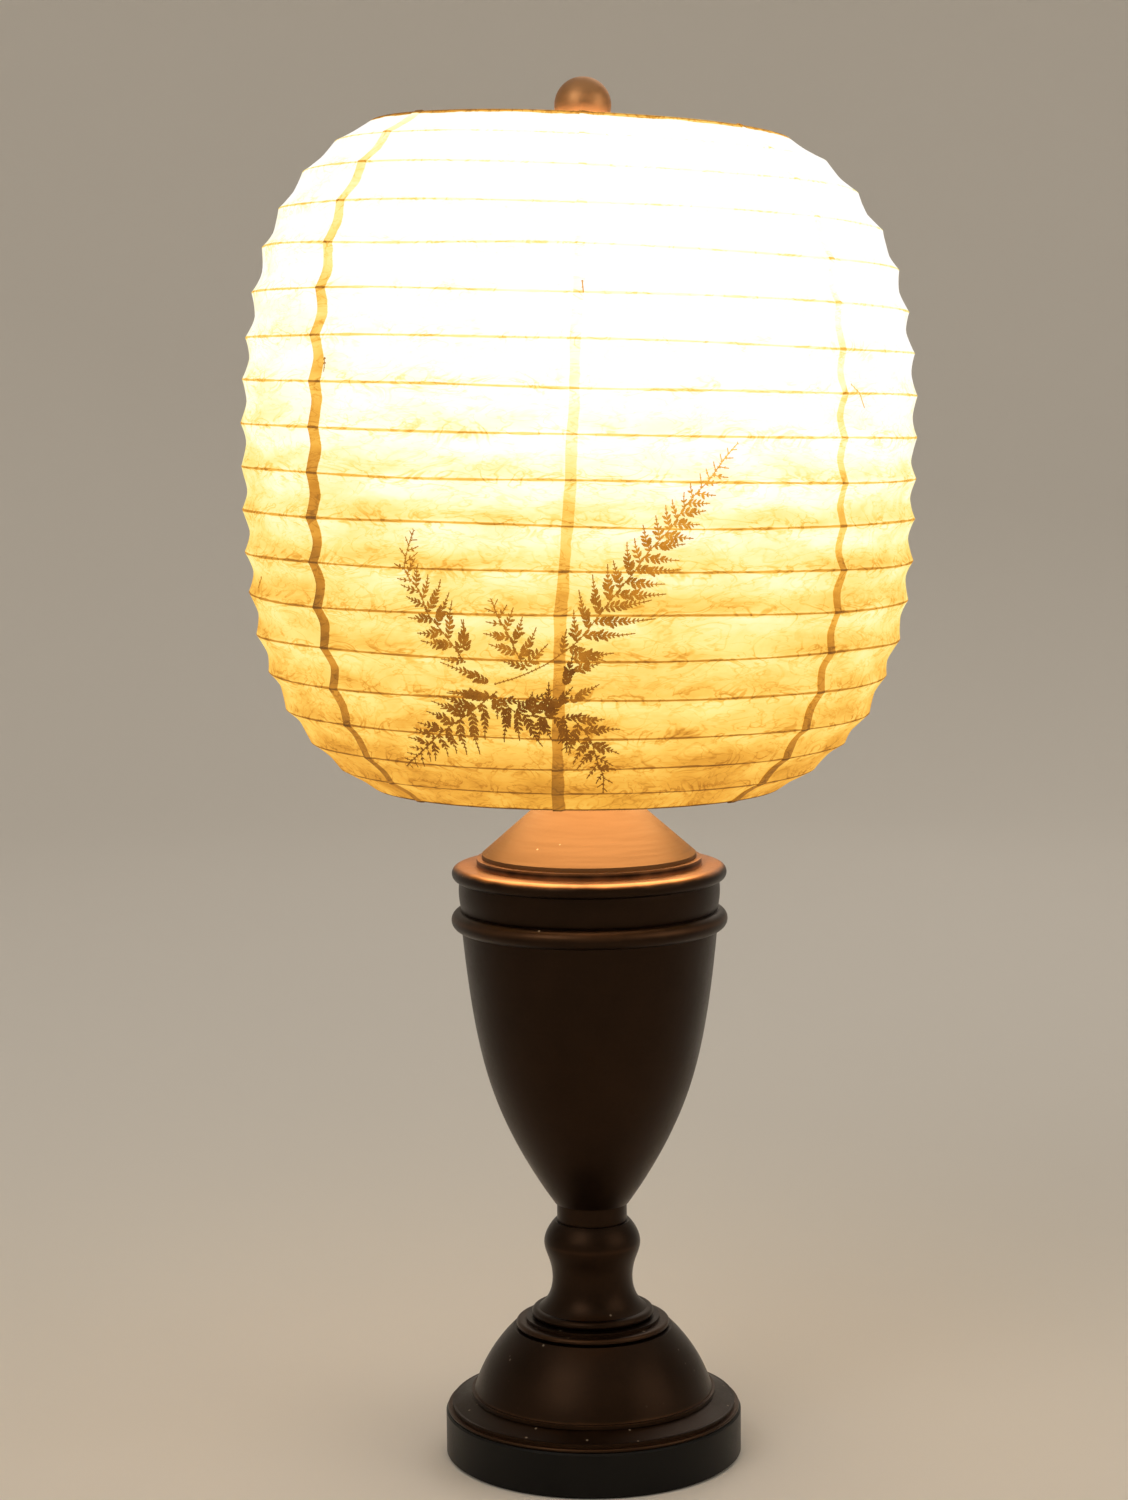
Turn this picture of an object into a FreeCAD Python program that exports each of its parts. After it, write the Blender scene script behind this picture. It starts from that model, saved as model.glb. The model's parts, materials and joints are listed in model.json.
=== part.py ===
import FreeCAD, Part
import math
import os

# Table lamp with a round, ribbed paper lantern for a shade. Millimetres, +Z up.
# The origin is the centre of the felt's underside, on the axis of the threaded rod.

# ---- paper lantern shade ----
shade_height = 293.0         # between the two cut edges of the paper
hem_lift = 0.8               # the lower edge hangs this far above the cone's top
shade_r = 150.0              # outer radius of the paper at the middle
shade_rim_r = 92.0           # outer radius of the paper at both openings
shade_fullness = 3.0         # exponent of the outline, 2 is an ellipse
paper_t = 0.3
gore_count = 8
first_seam_deg = -91.0       # a seam runs down the front
rib_count = 17
rib_r = 0.8
rib_sag = 4.8                # the middle ribs hang this far below an even spacing
rib_gap = 0.3                # between a rib or ring and the paper
ring_r = 1.2                 # wire of the top and bottom rings
spider_hub_margin = 2.0      # of the hub past the harp stud's flange
spider_hub_t = 2.4          # as thick as the arms, which butt against its edge
spider_arm_count = 3
spider_arm_r = 1.2
spider_first_arm_deg = 90.0
weld_gap = 0.05              # an arm's end to the ring that it is welded to

# ---- clearances ----
running_gap = 0.08           # radial, on everything that turns or slides
thread_gap = 0.05            # radial, threads and pieces pushed together
seat_gap = 0.1               # between flat faces that move past each other
rod_gap = 0.2                # radial, pieces slipped over the threaded rod

# ---- threaded rod, nuts and washer ----
rod_r = 5.1
rod_bore_r = 3.4
rod_foot_z = 8.0
rod_end_play = 0.9           # the rod ends this far below the socket hub's top
nut_wall = 2.85
nut_h = 4.0
washer_r = 12.0
washer_t = 1.4

# ---- foot: felt, plinth, weight, cord inlet ----
felt_margin = 1.7            # the felt stays this far inside the plinth's edge
felt_hole_r = 14.0
felt_t = 1.2
plinth_r = 68.7
plinth_h = 19.8
plinth_wall = 6.0
plinth_top_t = 5.0
plinth_edge = 0.8
weight_gap = 7.7             # from the weight to the plinth's wall
weight_h = 10.8
weight_hole_r = 15.0
weight_slot_w = 14.0
inlet_z = 9.2
inlet_bore_r = 3.5
inlet_wall = 1.5
inlet_flange_w = 2.0
inlet_flange_t = 1.2
inlet_spot_depth = 0.7       # flat cut in the round wall for the flange
inlet_tail = 1.0             # the bushing's tube past the wall's inside

# ---- stepped dome over the plinth ----
dome_margin = 1.2            # the lowest lip stays this far inside the plinth's edge
dome_lip_t = 1.6
dome_lip_w = 1.7
dome_second_lip_t = 1.9
dome_cove_w = 9.1
dome_cove_h = 5.5
dome_cove_lip = 1.0          # flat strip at each end of the cove
dome_cove_hollow_w = 0.28    # share of the cove's width where it is hollowest
dome_cove_hollow_h = 0.35    # share of its height there
dome_step_t = 2.0
dome_step_w = 1.3
dome_neck_r = 37.0
dome_neck_rise = 29.6        # above the step
dome_bulge = 2.2             # of the shoulder, past a straight line
dome_bead_r = 1.6            # radius of the ring round the dome's top
dome_bead_w = 3.0            # the ring's inset from the neck
dome_wall = 2.5

# ---- turned waist ----
waist_foot_w = 3.0           # its inset from the dome's top
waist_foot_t = 1.6
waist_ring_r = 28.2          # outside of the ring
waist_ring_bead = 2.1        # radius of the ring's round edge
waist_cove_r = 25.0
waist_cove_h = 7.0           # from the ring to the end of the cove
waist_cove_w = 1.2           # the cove ends this far outside the narrowest place
waist_r = 18.6
waist_rise = 21.0            # narrowest place, above the waist's foot
waist_swell_w = 1.6          # of the waist past its narrowest place, under the collar
waist_swell_h = 8.0
collar_r = 22.3
collar_rise = 36.5
waist_top_r = 17.4
waist_neck_w = 2.4           # the collar narrows to this far outside the top
waist_neck_h = 3.0
waist_h = 47.0

# ---- urn ----
urn_foot_r = 16.2
urn_foot_h = 8.5
urn_foot_ledge = 1.0
urn_lower_r = 31.2
urn_lower_rise = 30.6        # above the urn's foot
urn_middle_r = 45.0
urn_middle_rise = 61.0
urn_upper_r = 53.9
urn_upper_rise = 98.4
urn_throat_r = 58.6
urn_throat_rise = 137.0
urn_ring_r = 63.3            # outside of the lower ring
urn_ring_bead = 4.6
urn_groove_r = 59.8
urn_rim_r = 62.9             # outside of the upper ring
urn_rim_bead = 3.4
urn_h = 166.5
urn_wall = 2.5
urn_floor = 6.0
urn_mouth_lap = 3.0          # of the mouth's rim under the cone's edge
urn_mouth_t = 3.0

# ---- cone on the urn ----
seat_ring_w = 2.5            # of the ring that shows round the cone
seat_ring_t = 3.4
cone_r = 49.0
cone_lip_h = 2.0
cone_top_r = 13.4
cone_h = 33.0
cone_wall = 1.4
cone_top_t = 2.0

# ---- riser between the cone and the harp saddle ----
riser_wall = 1.4
riser_foot_r = 11.0
riser_cap_r = 9.0
riser_flange_t = 3.0
riser_h = 92.0

# ---- harp ----
harp_wire_r = 1.6
harp_foot_x = 29.0
harp_loop_r = 57.0
stud_web = 0.3               # of the stud between its flange and the wire
harp_straight = 24.0         # upright end of each leg
saddle_t = 1.6
saddle_w = 14.0
saddle_post_h = 7.4          # the posts that the legs stand on
saddle_shoulder_w = 1.6
saddle_shoulder_h = 1.5
leg_gap = 0.2                # between a post and the leg on it
sleeve_wall = 1.72
sleeve_h = 12.0
stud_block_r = 5.0
stud_block_t = 1.3           # of the stud's block under the wire
stud_flange_r = 8.5
stud_flange_t = 1.6
stud_r = 3.175
stud_end_play = 0.6          # the stud ends this far below the end of the finial's thread

# ---- finial ----
finial_r = 12.7
finial_flange_w = 2.0
finial_flange_t = 1.0
insert_wall = 1.75
insert_h = 12.0
insert_bottom_t = 2.0        # closed end of the insert over the stud

# ---- lampholder ----
hub_wall = 2.05
hub_h = 8.9
cap_h = 20.0
cap_neck_h = 3.4             # of the cup's foot round the hub
cap_neck_flare = 0.5
cap_shoulder_w = 2.6         # the shoulder's inset from the full radius
cap_shoulder_h = 7.5
cap_flare = 13.4             # height at which the cup reaches its full radius
cap_wall = 0.85
shell_wall = 0.8
shell_overlap = 3.0          # of the shell's foot in the cap
liner_wall = 0.9
interior_boss_w = 1.8        # past the hub that it stands on
interior_boss_h = 8.0
interior_w = 1.12            # past the screw shell
interior_h = 17.5
screw_r = 13.0               # medium screw base of the bulb
screw_wall = 0.5
screw_h = 26.0
contact_r = 3.0
contact_h = 2.4
shaft_r = 2.0
shaft_rise = 7.5             # above the foot of the interior's wide part
shaft_inner = 6.0
shaft_length = 26.0
shaft_hole_r = 3.5
knob_neck_r = 4.4
knob_neck_length = 5.0
knob_key_w = 15.0
knob_key_h = 10.0
knob_key_t = 3.4
knob_gap = 3.1               # from the lampholder to the knob

# ---- bulb ----
bulb_r = 30.0
bulb_length = 106.0
bulb_tip_r = 4.5
bulb_tip_h = 2.4
bulb_base_h = 22.4
bulb_base_floor_r = 7.0
bulb_base_taper = 4.0
bulb_base_wall = 0.6
bulb_neck_gap = 0.1          # the cement between the glass and its base
bulb_neck_depth = 7.0        # of the glass in its base
bulb_cone_rise = 9.0         # of the neck before the glass widens
glass_t = 0.9
filament_r = 0.6
filament_length = 24.0
filament_lead_r = 0.4

# ---- levels, worked out from the sizes above ----
plinth_top_z = felt_t + plinth_h
plinth_ceiling_z = plinth_top_z - plinth_top_t
washer_z = plinth_ceiling_z - washer_t
dome_step_z = plinth_top_z + dome_lip_t + dome_second_lip_t + dome_cove_h
dome_neck_z = dome_step_z + dome_neck_rise
dome_top_z = dome_neck_z + 2 * dome_bead_r
waist_top_z = dome_top_z + waist_h
urn_top_z = waist_top_z + urn_h
cone_z = urn_top_z + seat_ring_t
cone_top_z = cone_z + cone_h
saddle_z = cone_top_z + riser_h
saddle_nut_z = saddle_z + saddle_t
socket_z = saddle_nut_z + nut_h
hub_top_z = socket_z + hub_h
interior_z = hub_top_z + interior_boss_h
screw_z = interior_z + interior_h
contact_top_z = screw_z + contact_h
shell_z = socket_z + cap_h - shell_overlap
shaft_z = interior_z + shaft_rise
bulb_z = contact_top_z + seat_gap
bulb_centre_z = bulb_z + bulb_length - bulb_r
shade_top_z = cone_top_z + hem_lift + shade_height
shade_middle_z = shade_top_z - shade_height / 2
rod_top_z = hub_top_z - rod_end_play
insert_bore_h = finial_flange_t + insert_h - insert_bottom_t

# ---- radii, worked out from the sizes above ----
rod_hole_r = rod_r + rod_gap
hub_r = rod_r + thread_gap + hub_wall
interior_boss_r = hub_r + interior_boss_w
screw_bore_r = screw_r + running_gap
interior_r = screw_bore_r + screw_wall + interior_w
liner_r = interior_r + thread_gap + liner_wall
shell_r = liner_r + thread_gap + shell_wall
cap_inner_r = shell_r + thread_gap
cap_r = cap_inner_r + cap_wall
knob_start = cap_r + knob_gap
bulb_neck_r = screw_r - bulb_base_wall - bulb_neck_gap
plinth_inner_r = plinth_r - plinth_wall
inlet_tube_r = inlet_bore_r + inlet_wall
inlet_flange_r = inlet_tube_r + inlet_flange_w
dome_lip_r = plinth_r - dome_margin
dome_second_lip_r = dome_lip_r - dome_lip_w
dome_step_r = dome_second_lip_r - dome_cove_w
dome_shoulder_r = dome_step_r - dome_step_w
dome_top_r = dome_neck_r - dome_bead_w
waist_foot_r = dome_top_r - waist_foot_w
riser_r = rod_hole_r + riser_wall
harp_drop = harp_wire_r + stud_web
sleeve_bore_r = harp_wire_r + running_gap
stud_hole_r = stud_r + running_gap
insert_r = stud_hole_r + insert_wall
finial_seat_r = insert_r + finial_flange_w
spider_hub_r = stud_flange_r + spider_hub_margin

os.makedirs("parts", exist_ok=True)


def point(x, y, z):
    return FreeCAD.Vector(x, y, z)


UP = point(0, 0, 1)
ORIGIN = point(0, 0, 0)


def save(name, shapes):
    """Writes one node: a solid, or a group of like solids."""
    group = shapes if isinstance(shapes, list) else [shapes]
    shape = group[0] if len(group) == 1 else Part.makeCompound(group)
    shape.exportStep(os.path.join("parts", name + ".step"))


def polar(radius, degrees, z=0.0):
    turn = math.radians(degrees)
    return point(radius * math.cos(turn), radius * math.sin(turn), z)


class Outline:
    """A closed outline in the XZ plane, as (radius, z), turned about Z into a solid."""

    def __init__(self, r, z):
        self.edges = []
        self.start = self.last = point(r, 0, z)

    def line(self, r, z):
        end = point(r, 0, z)
        self.edges.append(Part.LineSegment(self.last, end).toShape())
        self.last = end
        return self

    def arc(self, mid_r, mid_z, r, z):
        end = point(r, 0, z)
        self.edges.append(Part.Arc(self.last, point(mid_r, 0, mid_z), end).toShape())
        self.last = end
        return self

    def curve(self, points):
        """A smooth curve from the last point through the ones given."""
        through = [self.last] + [point(r, 0, z) for r, z in points]
        spline = Part.BSplineCurve()
        spline.interpolate(through)
        self.edges.append(spline.toShape())
        self.last = through[-1]
        return self

    def turned(self, degrees=360.0):
        self.line(self.start.x, self.start.z)
        face = Part.Face(Part.Wire(self.edges))
        return face.revolve(ORIGIN, UP, degrees)


def bulged(r_1, z_1, r_2, z_2, bulge):
    """The middle of an arc between two points of an outline, pushed outwards past a straight line."""
    length = math.hypot(r_2 - r_1, z_2 - z_1)
    r = (r_1 + r_2) / 2 + bulge * (z_2 - z_1) / length
    z = (z_1 + z_2) / 2 + bulge * (r_1 - r_2) / length
    return r, z


def rod(radius, start, end):
    span = end - start
    return Part.makeCylinder(radius, span.Length, start, span)


def tube(outer_r, inner_r, z, height):
    solid = Part.makeCylinder(outer_r, height, point(0, 0, z))
    return solid.cut(Part.makeCylinder(inner_r, height, point(0, 0, z)))


def hex_nut(z):
    flats = 2 * (rod_r + thread_gap + nut_wall)
    corner_r = flats / math.sqrt(3)
    corners = [polar(corner_r, 60 * side, z) for side in range(7)]
    prism = Part.Face(Part.makePolygon(corners)).extrude(point(0, 0, nut_h))
    return prism.cut(Part.makeCylinder(rod_r + thread_gap, nut_h, point(0, 0, z)))


# ---- the shade's outline ----
def shade_point(z, inset=0.0):
    """The paper's outer surface at a height, moved inwards along the surface's normal."""
    half = shade_height / 2
    rim = (shade_rim_r / shade_r) ** shade_fullness
    reach = half / (1 - rim) ** (1 / shade_fullness)
    t = (z - shade_middle_z) / reach
    side = abs(t) ** shade_fullness
    r = shade_r * (1 - side) ** (1 / shade_fullness)
    grow = math.copysign(abs(t) ** (shade_fullness - 1), t)
    slope = -shade_r / reach * grow * (1 - side) ** (1 / shade_fullness - 1)
    size = math.hypot(1, slope)
    return r - inset / size, z + inset * slope / size


def shade_stations(count, sag=0.0):
    """Heights spaced evenly along the paper from its top edge, the middle ones lower by sag."""
    steps = 600
    heights = [shade_top_z - shade_height * step / steps for step in range(steps + 1)]
    run = [0.0]
    for upper, lower in zip(heights, heights[1:]):
        r_upper, r_lower = shade_point(upper)[0], shade_point(lower)[0]
        run.append(run[-1] + math.hypot(upper - lower, r_upper - r_lower))
    stations = []
    for index in range(count + 1):
        part = index / count
        want = min(run[-1] * part + sag * math.sin(math.pi * part), run[-1])
        step = next(k for k in range(1, steps + 1) if run[k] >= want - 1e-9)
        share = (want - run[step - 1]) / (run[step] - run[step - 1])
        stations.append(heights[step - 1] + share * (heights[step] - heights[step - 1]))
    return stations


def ring_place(z, wire_r):
    """Radius and height of a wire ring that lies inside the paper at a height."""
    return shade_point(z, paper_t + rib_gap + wire_r)


def wire_ring(r, z, wire_r):
    return Part.makeTorus(r, wire_r, point(0, 0, z))


# ---- foot ----
def make_foot():
    felt = tube(plinth_r - felt_margin, felt_hole_r, 0, felt_t)
    save("base_felt", felt)

    plinth = (
        Outline(plinth_inner_r, felt_t)
        .line(plinth_r, felt_t)
        .line(plinth_r, plinth_top_z - plinth_edge)
        .line(plinth_r - plinth_edge, plinth_top_z)
        .line(rod_hole_r, plinth_top_z)
        .line(rod_hole_r, plinth_ceiling_z)
        .line(plinth_inner_r, plinth_ceiling_z)
        .turned()
    )
    spot_y = plinth_r - inlet_spot_depth
    hole = rod(inlet_tube_r + thread_gap, point(0, plinth_inner_r / 2, inlet_z), point(0, plinth_r, inlet_z))
    spot = rod(inlet_flange_r + thread_gap, point(0, spot_y, inlet_z), point(0, plinth_r + 1, inlet_z))
    save("base_plinth", plinth.cut(hole).cut(spot))

    tail_y = plinth_inner_r - inlet_tail
    face_y = spot_y + inlet_flange_t
    bushing = rod(inlet_tube_r, point(0, tail_y, inlet_z), point(0, spot_y, inlet_z))
    bushing = bushing.fuse(rod(inlet_flange_r, point(0, spot_y, inlet_z), point(0, face_y, inlet_z)))
    bore = rod(inlet_bore_r, point(0, tail_y, inlet_z), point(0, face_y, inlet_z))
    save("cord_bushing", bushing.cut(bore).removeSplitter())

    weight_z = plinth_ceiling_z - weight_h
    weight_r = plinth_inner_r - weight_gap
    weight = tube(weight_r, weight_hole_r, weight_z, weight_h)
    slot = Part.makeBox(weight_slot_w, weight_r, weight_h, point(-weight_slot_w / 2, 0, weight_z))
    save("base_weight", weight.cut(slot))

    save("base_washer", tube(washer_r, rod_hole_r, washer_z, washer_t))
    save("lock_nuts", [hex_nut(washer_z - nut_h), hex_nut(saddle_nut_z)])
    save("threaded_rod", tube(rod_r, rod_bore_r, rod_foot_z, rod_top_z - rod_foot_z))


def make_dome():
    lip_z = plinth_top_z + dome_lip_t
    second_z = lip_z + dome_second_lip_t
    cove_r = dome_step_r + dome_cove_w * dome_cove_hollow_w
    cove_z = second_z + dome_cove_h * dome_cove_hollow_h
    belly_r, belly_z = bulged(dome_shoulder_r, dome_step_z, dome_neck_r, dome_neck_z, dome_bulge)
    bead_z = dome_neck_z + dome_bead_r
    inner_step_z = dome_step_z - dome_wall / 2
    dome = (
        Outline(dome_second_lip_r - 3 * dome_wall, plinth_top_z)
        .line(dome_lip_r, plinth_top_z)
        .arc(dome_lip_r + dome_lip_t / 4, lip_z - dome_lip_t / 2, dome_lip_r, lip_z)
        .line(dome_second_lip_r, lip_z)
        .line(dome_second_lip_r, second_z)
        .line(dome_second_lip_r - dome_cove_lip, second_z)
        .arc(cove_r, cove_z, dome_step_r - dome_cove_lip, dome_step_z - dome_step_t)
        .line(dome_step_r, dome_step_z - dome_step_t)
        .line(dome_step_r, dome_step_z)
        .line(dome_shoulder_r, dome_step_z)
        .arc(belly_r, belly_z, dome_neck_r, dome_neck_z)
        .line(dome_top_r, dome_neck_z)
        .arc(dome_top_r + dome_bead_r, bead_z, dome_top_r, dome_top_z)
        .line(rod_hole_r, dome_top_z)
        .line(rod_hole_r, dome_neck_z - dome_wall)
        .line(dome_neck_r - dome_wall, dome_neck_z - dome_wall)
        .arc(belly_r - dome_wall, belly_z - dome_wall, dome_step_r - 2 * dome_wall, inner_step_z)
        .turned()
    )
    save("base_dome", dome)


def make_waist():
    ring_z = dome_top_z + waist_foot_t + waist_ring_bead
    ring_core_r = waist_ring_r - waist_ring_bead
    ring_top_z = ring_z + waist_ring_bead
    collar_z = dome_top_z + collar_rise
    waist = (
        Outline(rod_hole_r, dome_top_z)
        .line(waist_foot_r, dome_top_z)
        .line(waist_foot_r, dome_top_z + waist_foot_t)
        .line(ring_core_r, dome_top_z + waist_foot_t)
        .arc(waist_ring_r, ring_z, ring_core_r, ring_top_z)
        .line(waist_cove_r, ring_top_z)
        .curve([
            (waist_r + waist_cove_w, ring_top_z + waist_cove_h),
            (waist_r, dome_top_z + waist_rise),
            (waist_r + waist_swell_w, dome_top_z + waist_rise + waist_swell_h),
            (collar_r, collar_z),
            (waist_top_r + waist_neck_w, waist_top_z - waist_neck_h),
            (waist_top_r, waist_top_z),
        ])
        .line(rod_hole_r, waist_top_z)
        .turned()
    )
    save("turned_waist", waist)


def urn_belly(inset, foot_r, foot_z):
    """The belly's curve from its foot up to the throat, inset for the inside."""
    stations = [
        (urn_lower_r, urn_lower_rise),
        (urn_middle_r, urn_middle_rise),
        (urn_upper_r, urn_upper_rise),
        (urn_throat_r, urn_throat_rise),
    ]
    return [(foot_r, foot_z)] + [(r - inset, waist_top_z + rise) for r, rise in stations]


def make_urn():
    foot_z = waist_top_z + urn_foot_h
    throat_z = waist_top_z + urn_throat_rise
    ring_top_z = throat_z + 2 * urn_ring_bead
    rim_foot_z = urn_top_z - 2 * urn_rim_bead
    ring_core_r = urn_ring_r - urn_ring_bead
    rim_core_r = urn_rim_r - urn_rim_bead
    outer = urn_belly(0.0, urn_foot_r + urn_foot_ledge, foot_z)
    inner = urn_belly(urn_wall, urn_foot_r - urn_wall, foot_z + urn_floor)
    urn = (
        Outline(rod_hole_r, waist_top_z)
        .line(urn_foot_r, waist_top_z)
        .line(urn_foot_r, foot_z)
        .line(*outer[0])
        .curve(outer[1:])
        .line(ring_core_r, throat_z)
        .arc(urn_ring_r, throat_z + urn_ring_bead, ring_core_r, ring_top_z)
        .arc(urn_groove_r, (ring_top_z + rim_foot_z) / 2, rim_core_r, rim_foot_z)
        .arc(urn_rim_r, urn_top_z - urn_rim_bead, rim_core_r, urn_top_z)
        .line(cone_r - urn_mouth_lap, urn_top_z)
        .line(cone_r - urn_mouth_lap, urn_top_z - urn_mouth_t)
        .line(inner[-1][0], urn_top_z - urn_mouth_t)
        .line(*inner[-1])
        .curve(inner[-2::-1])
        .line(rod_hole_r, inner[0][1])
        .turned()
    )
    save("urn_body", urn)


def make_cone():
    save("cone_seat_ring", tube(cone_r + seat_ring_w, rod_hole_r, urn_top_z, seat_ring_t))
    slant_h = cone_h - cone_lip_h
    slope = (cone_r - cone_top_r) / slant_h
    inset = cone_wall * math.hypot(1, slope)
    ceiling_z = cone_top_z - cone_top_t
    ceiling_r = cone_top_r + slope * cone_top_t - inset
    cone = (
        Outline(cone_r - inset, cone_z)
        .line(cone_r, cone_z)
        .line(cone_r, cone_z + cone_lip_h)
        .line(cone_top_r, cone_top_z)
        .line(rod_hole_r, cone_top_z)
        .line(rod_hole_r, ceiling_z)
        .line(ceiling_r, ceiling_z)
        .line(cone_r - inset, cone_z + cone_lip_h)
        .turned()
    )
    save("cone_cap", cone)

    riser = (
        Outline(rod_hole_r, cone_top_z)
        .line(riser_foot_r, cone_top_z)
        .line(riser_foot_r, cone_top_z + riser_flange_t)
        .line(riser_r, cone_top_z + riser_flange_t)
        .line(riser_r, saddle_z - riser_flange_t)
        .line(riser_cap_r, saddle_z - riser_flange_t)
        .line(riser_cap_r, saddle_z)
        .line(rod_hole_r, saddle_z)
        .turned()
    )
    save("riser_tube", riser)


# ---- harp ----
def harp_path(side, flange_z):
    """Corners of one leg and the loop's centre height: post top, bend and tangent point."""
    loop_z = flange_z - harp_drop - harp_loop_r
    foot = point(side * harp_foot_x, 0, saddle_nut_z + saddle_post_h + leg_gap)
    bend = point(side * harp_foot_x, 0, foot.z + harp_straight)
    away = math.hypot(harp_foot_x, loop_z - bend.z)
    swing = math.atan2(bend.z - loop_z, harp_foot_x) + math.acos(harp_loop_r / away)
    touch = point(side * harp_loop_r * math.cos(swing), 0, loop_z + harp_loop_r * math.sin(swing))
    return foot, bend, touch, loop_z


def harp_wire(wire_r, flange_z):
    """The bent wire: two legs and the round loop between them."""
    solids = []
    ends = []
    for side in (-1, 1):
        foot, bend, touch, loop_z = harp_path(side, flange_z)
        solids += [rod(wire_r, foot, bend), Part.makeSphere(wire_r, bend), rod(wire_r, bend, touch)]
        ends.append(touch)
    top = point(0, 0, loop_z + harp_loop_r)
    loop = Part.Wire([Part.Arc(ends[0], top, ends[1]).toShape()])
    start = ends[0]
    along = point(-start.z + loop_z, 0, start.x)
    section = Part.Wire([Part.Circle(start, along, wire_r).toShape()])
    solids.append(loop.makePipeShell([section], True, False))
    return solids[0].multiFuse(solids[1:]).removeSplitter()


def make_harp(flange_z):
    corner = point(-harp_foot_x, -saddle_w / 2, saddle_z)
    plate = Part.makeBox(2 * harp_foot_x, saddle_w, saddle_t, corner)
    for side in (-1, 1):
        x = side * harp_foot_x
        plate = plate.fuse(Part.makeCylinder(saddle_w / 2, saddle_t, point(x, 0, saddle_z)))
        shoulder_r = harp_wire_r + saddle_shoulder_w
        shoulder = Part.makeCylinder(shoulder_r, saddle_shoulder_h, point(x, 0, saddle_nut_z))
        post = Part.makeCylinder(harp_wire_r, saddle_post_h, point(x, 0, saddle_nut_z))
        plate = plate.fuse(shoulder).fuse(post)
    plate = plate.cut(Part.makeCylinder(rod_hole_r, saddle_t, point(0, 0, saddle_z)))
    save("harp_saddle", plate.removeSplitter())

    wire = harp_wire(harp_wire_r, flange_z)
    save("harp_frame", wire)

    block_h = harp_drop + harp_wire_r + stud_block_t
    block = Part.makeCylinder(stud_block_r, block_h, point(0, 0, flange_z - block_h))
    block = block.cut(harp_wire(harp_wire_r + thread_gap, flange_z))
    flange = Part.makeCylinder(stud_flange_r, stud_flange_t, point(0, 0, flange_z))
    stud_foot_z = flange_z + stud_flange_t
    stud_h = spider_hub_t + 2 * seat_gap + insert_bore_h - stud_end_play
    stud = Part.makeCylinder(stud_r, stud_h, point(0, 0, stud_foot_z))
    save("harp_stud", block.fuse(flange).fuse(stud).removeSplitter())

    sleeve_z = saddle_nut_z + saddle_shoulder_h + seat_gap
    for side, name in ((-1, "harp_sleeve_left"), (1, "harp_sleeve_right")):
        sleeve = tube(sleeve_bore_r + sleeve_wall, sleeve_bore_r, sleeve_z, sleeve_h)
        sleeve.translate(point(side * harp_foot_x, 0, 0))
        save(name, sleeve)


# ---- lampholder and its switch ----
def make_lampholder():
    flare_z = socket_z + cap_flare
    cap_top_z = socket_z + cap_h
    neck_r = hub_r + cap_wall
    neck_top_z = socket_z + cap_neck_h
    shoulder_r = cap_r - cap_shoulder_w
    shoulder_z = socket_z + cap_shoulder_h
    cap = (
        Outline(rod_r + thread_gap, socket_z)
        .line(neck_r, socket_z)
        .line(neck_r + cap_neck_flare, neck_top_z)
        .arc(shoulder_r, shoulder_z, cap_r, flare_z)
        .line(cap_r, cap_top_z)
        .line(cap_inner_r, cap_top_z)
        .line(cap_inner_r, flare_z)
        .arc(shoulder_r - cap_wall, shoulder_z + cap_wall, neck_r, neck_top_z + cap_wall)
        .line(hub_r, neck_top_z + cap_wall)
        .line(hub_r, hub_top_z)
        .line(rod_r + thread_gap, hub_top_z)
        .turned()
    )
    save("socket_cap", cap)

    shaft_from = point(0, -shaft_inner, shaft_z)
    shaft_hole = rod(shaft_hole_r, point(0, 0, shaft_z), point(0, -2 * shell_r, shaft_z))
    shell_height = screw_z + screw_h - shell_z
    liner = tube(liner_r, liner_r - liner_wall, shell_z, shell_height - shell_wall)
    shell = tube(shell_r, shell_r - shell_wall, shell_z, shell_height)
    save("socket_liner", liner.cut(shaft_hole))
    save("socket_shell", shell.cut(shaft_hole))

    interior = Part.makeCylinder(interior_r, interior_h, point(0, 0, interior_z))
    interior = interior.fuse(Part.makeCylinder(interior_boss_r, interior_boss_h, point(0, 0, hub_top_z)))
    running = rod(shaft_r + running_gap, point(0, -shaft_inner + seat_gap, shaft_z),
                  point(0, -2 * shell_r, shaft_z))
    save("socket_interior", interior.cut(running).removeSplitter())

    save("socket_screw_shell", tube(screw_bore_r + screw_wall, screw_bore_r, screw_z, screw_h - shell_wall))
    contact = Part.makeCylinder(contact_r, contact_h, point(0, 0, screw_z))
    save("socket_contact", contact)

    shaft_to = point(0, -shaft_inner - shaft_length, shaft_z)
    save("switch_shaft", rod(shaft_r, shaft_from, shaft_to))
    neck_end_y = -knob_start - knob_neck_length
    knob = rod(knob_neck_r, point(0, -knob_start, shaft_z), point(0, neck_end_y, shaft_z))
    key = Part.makeBox(knob_key_w, knob_key_h, knob_key_t,
                       point(-knob_key_w / 2, neck_end_y - knob_key_h, shaft_z - knob_key_t / 2))
    key = key.makeFillet(knob_key_t / 3, key.Edges)
    stem = rod(knob_neck_r, point(0, neck_end_y, shaft_z), point(0, neck_end_y - knob_key_h / 2, shaft_z))
    bore = rod(shaft_r + thread_gap, shaft_from, shaft_to)
    save("switch_knob", knob.fuse(stem).fuse(key).cut(bore).removeSplitter())


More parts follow.
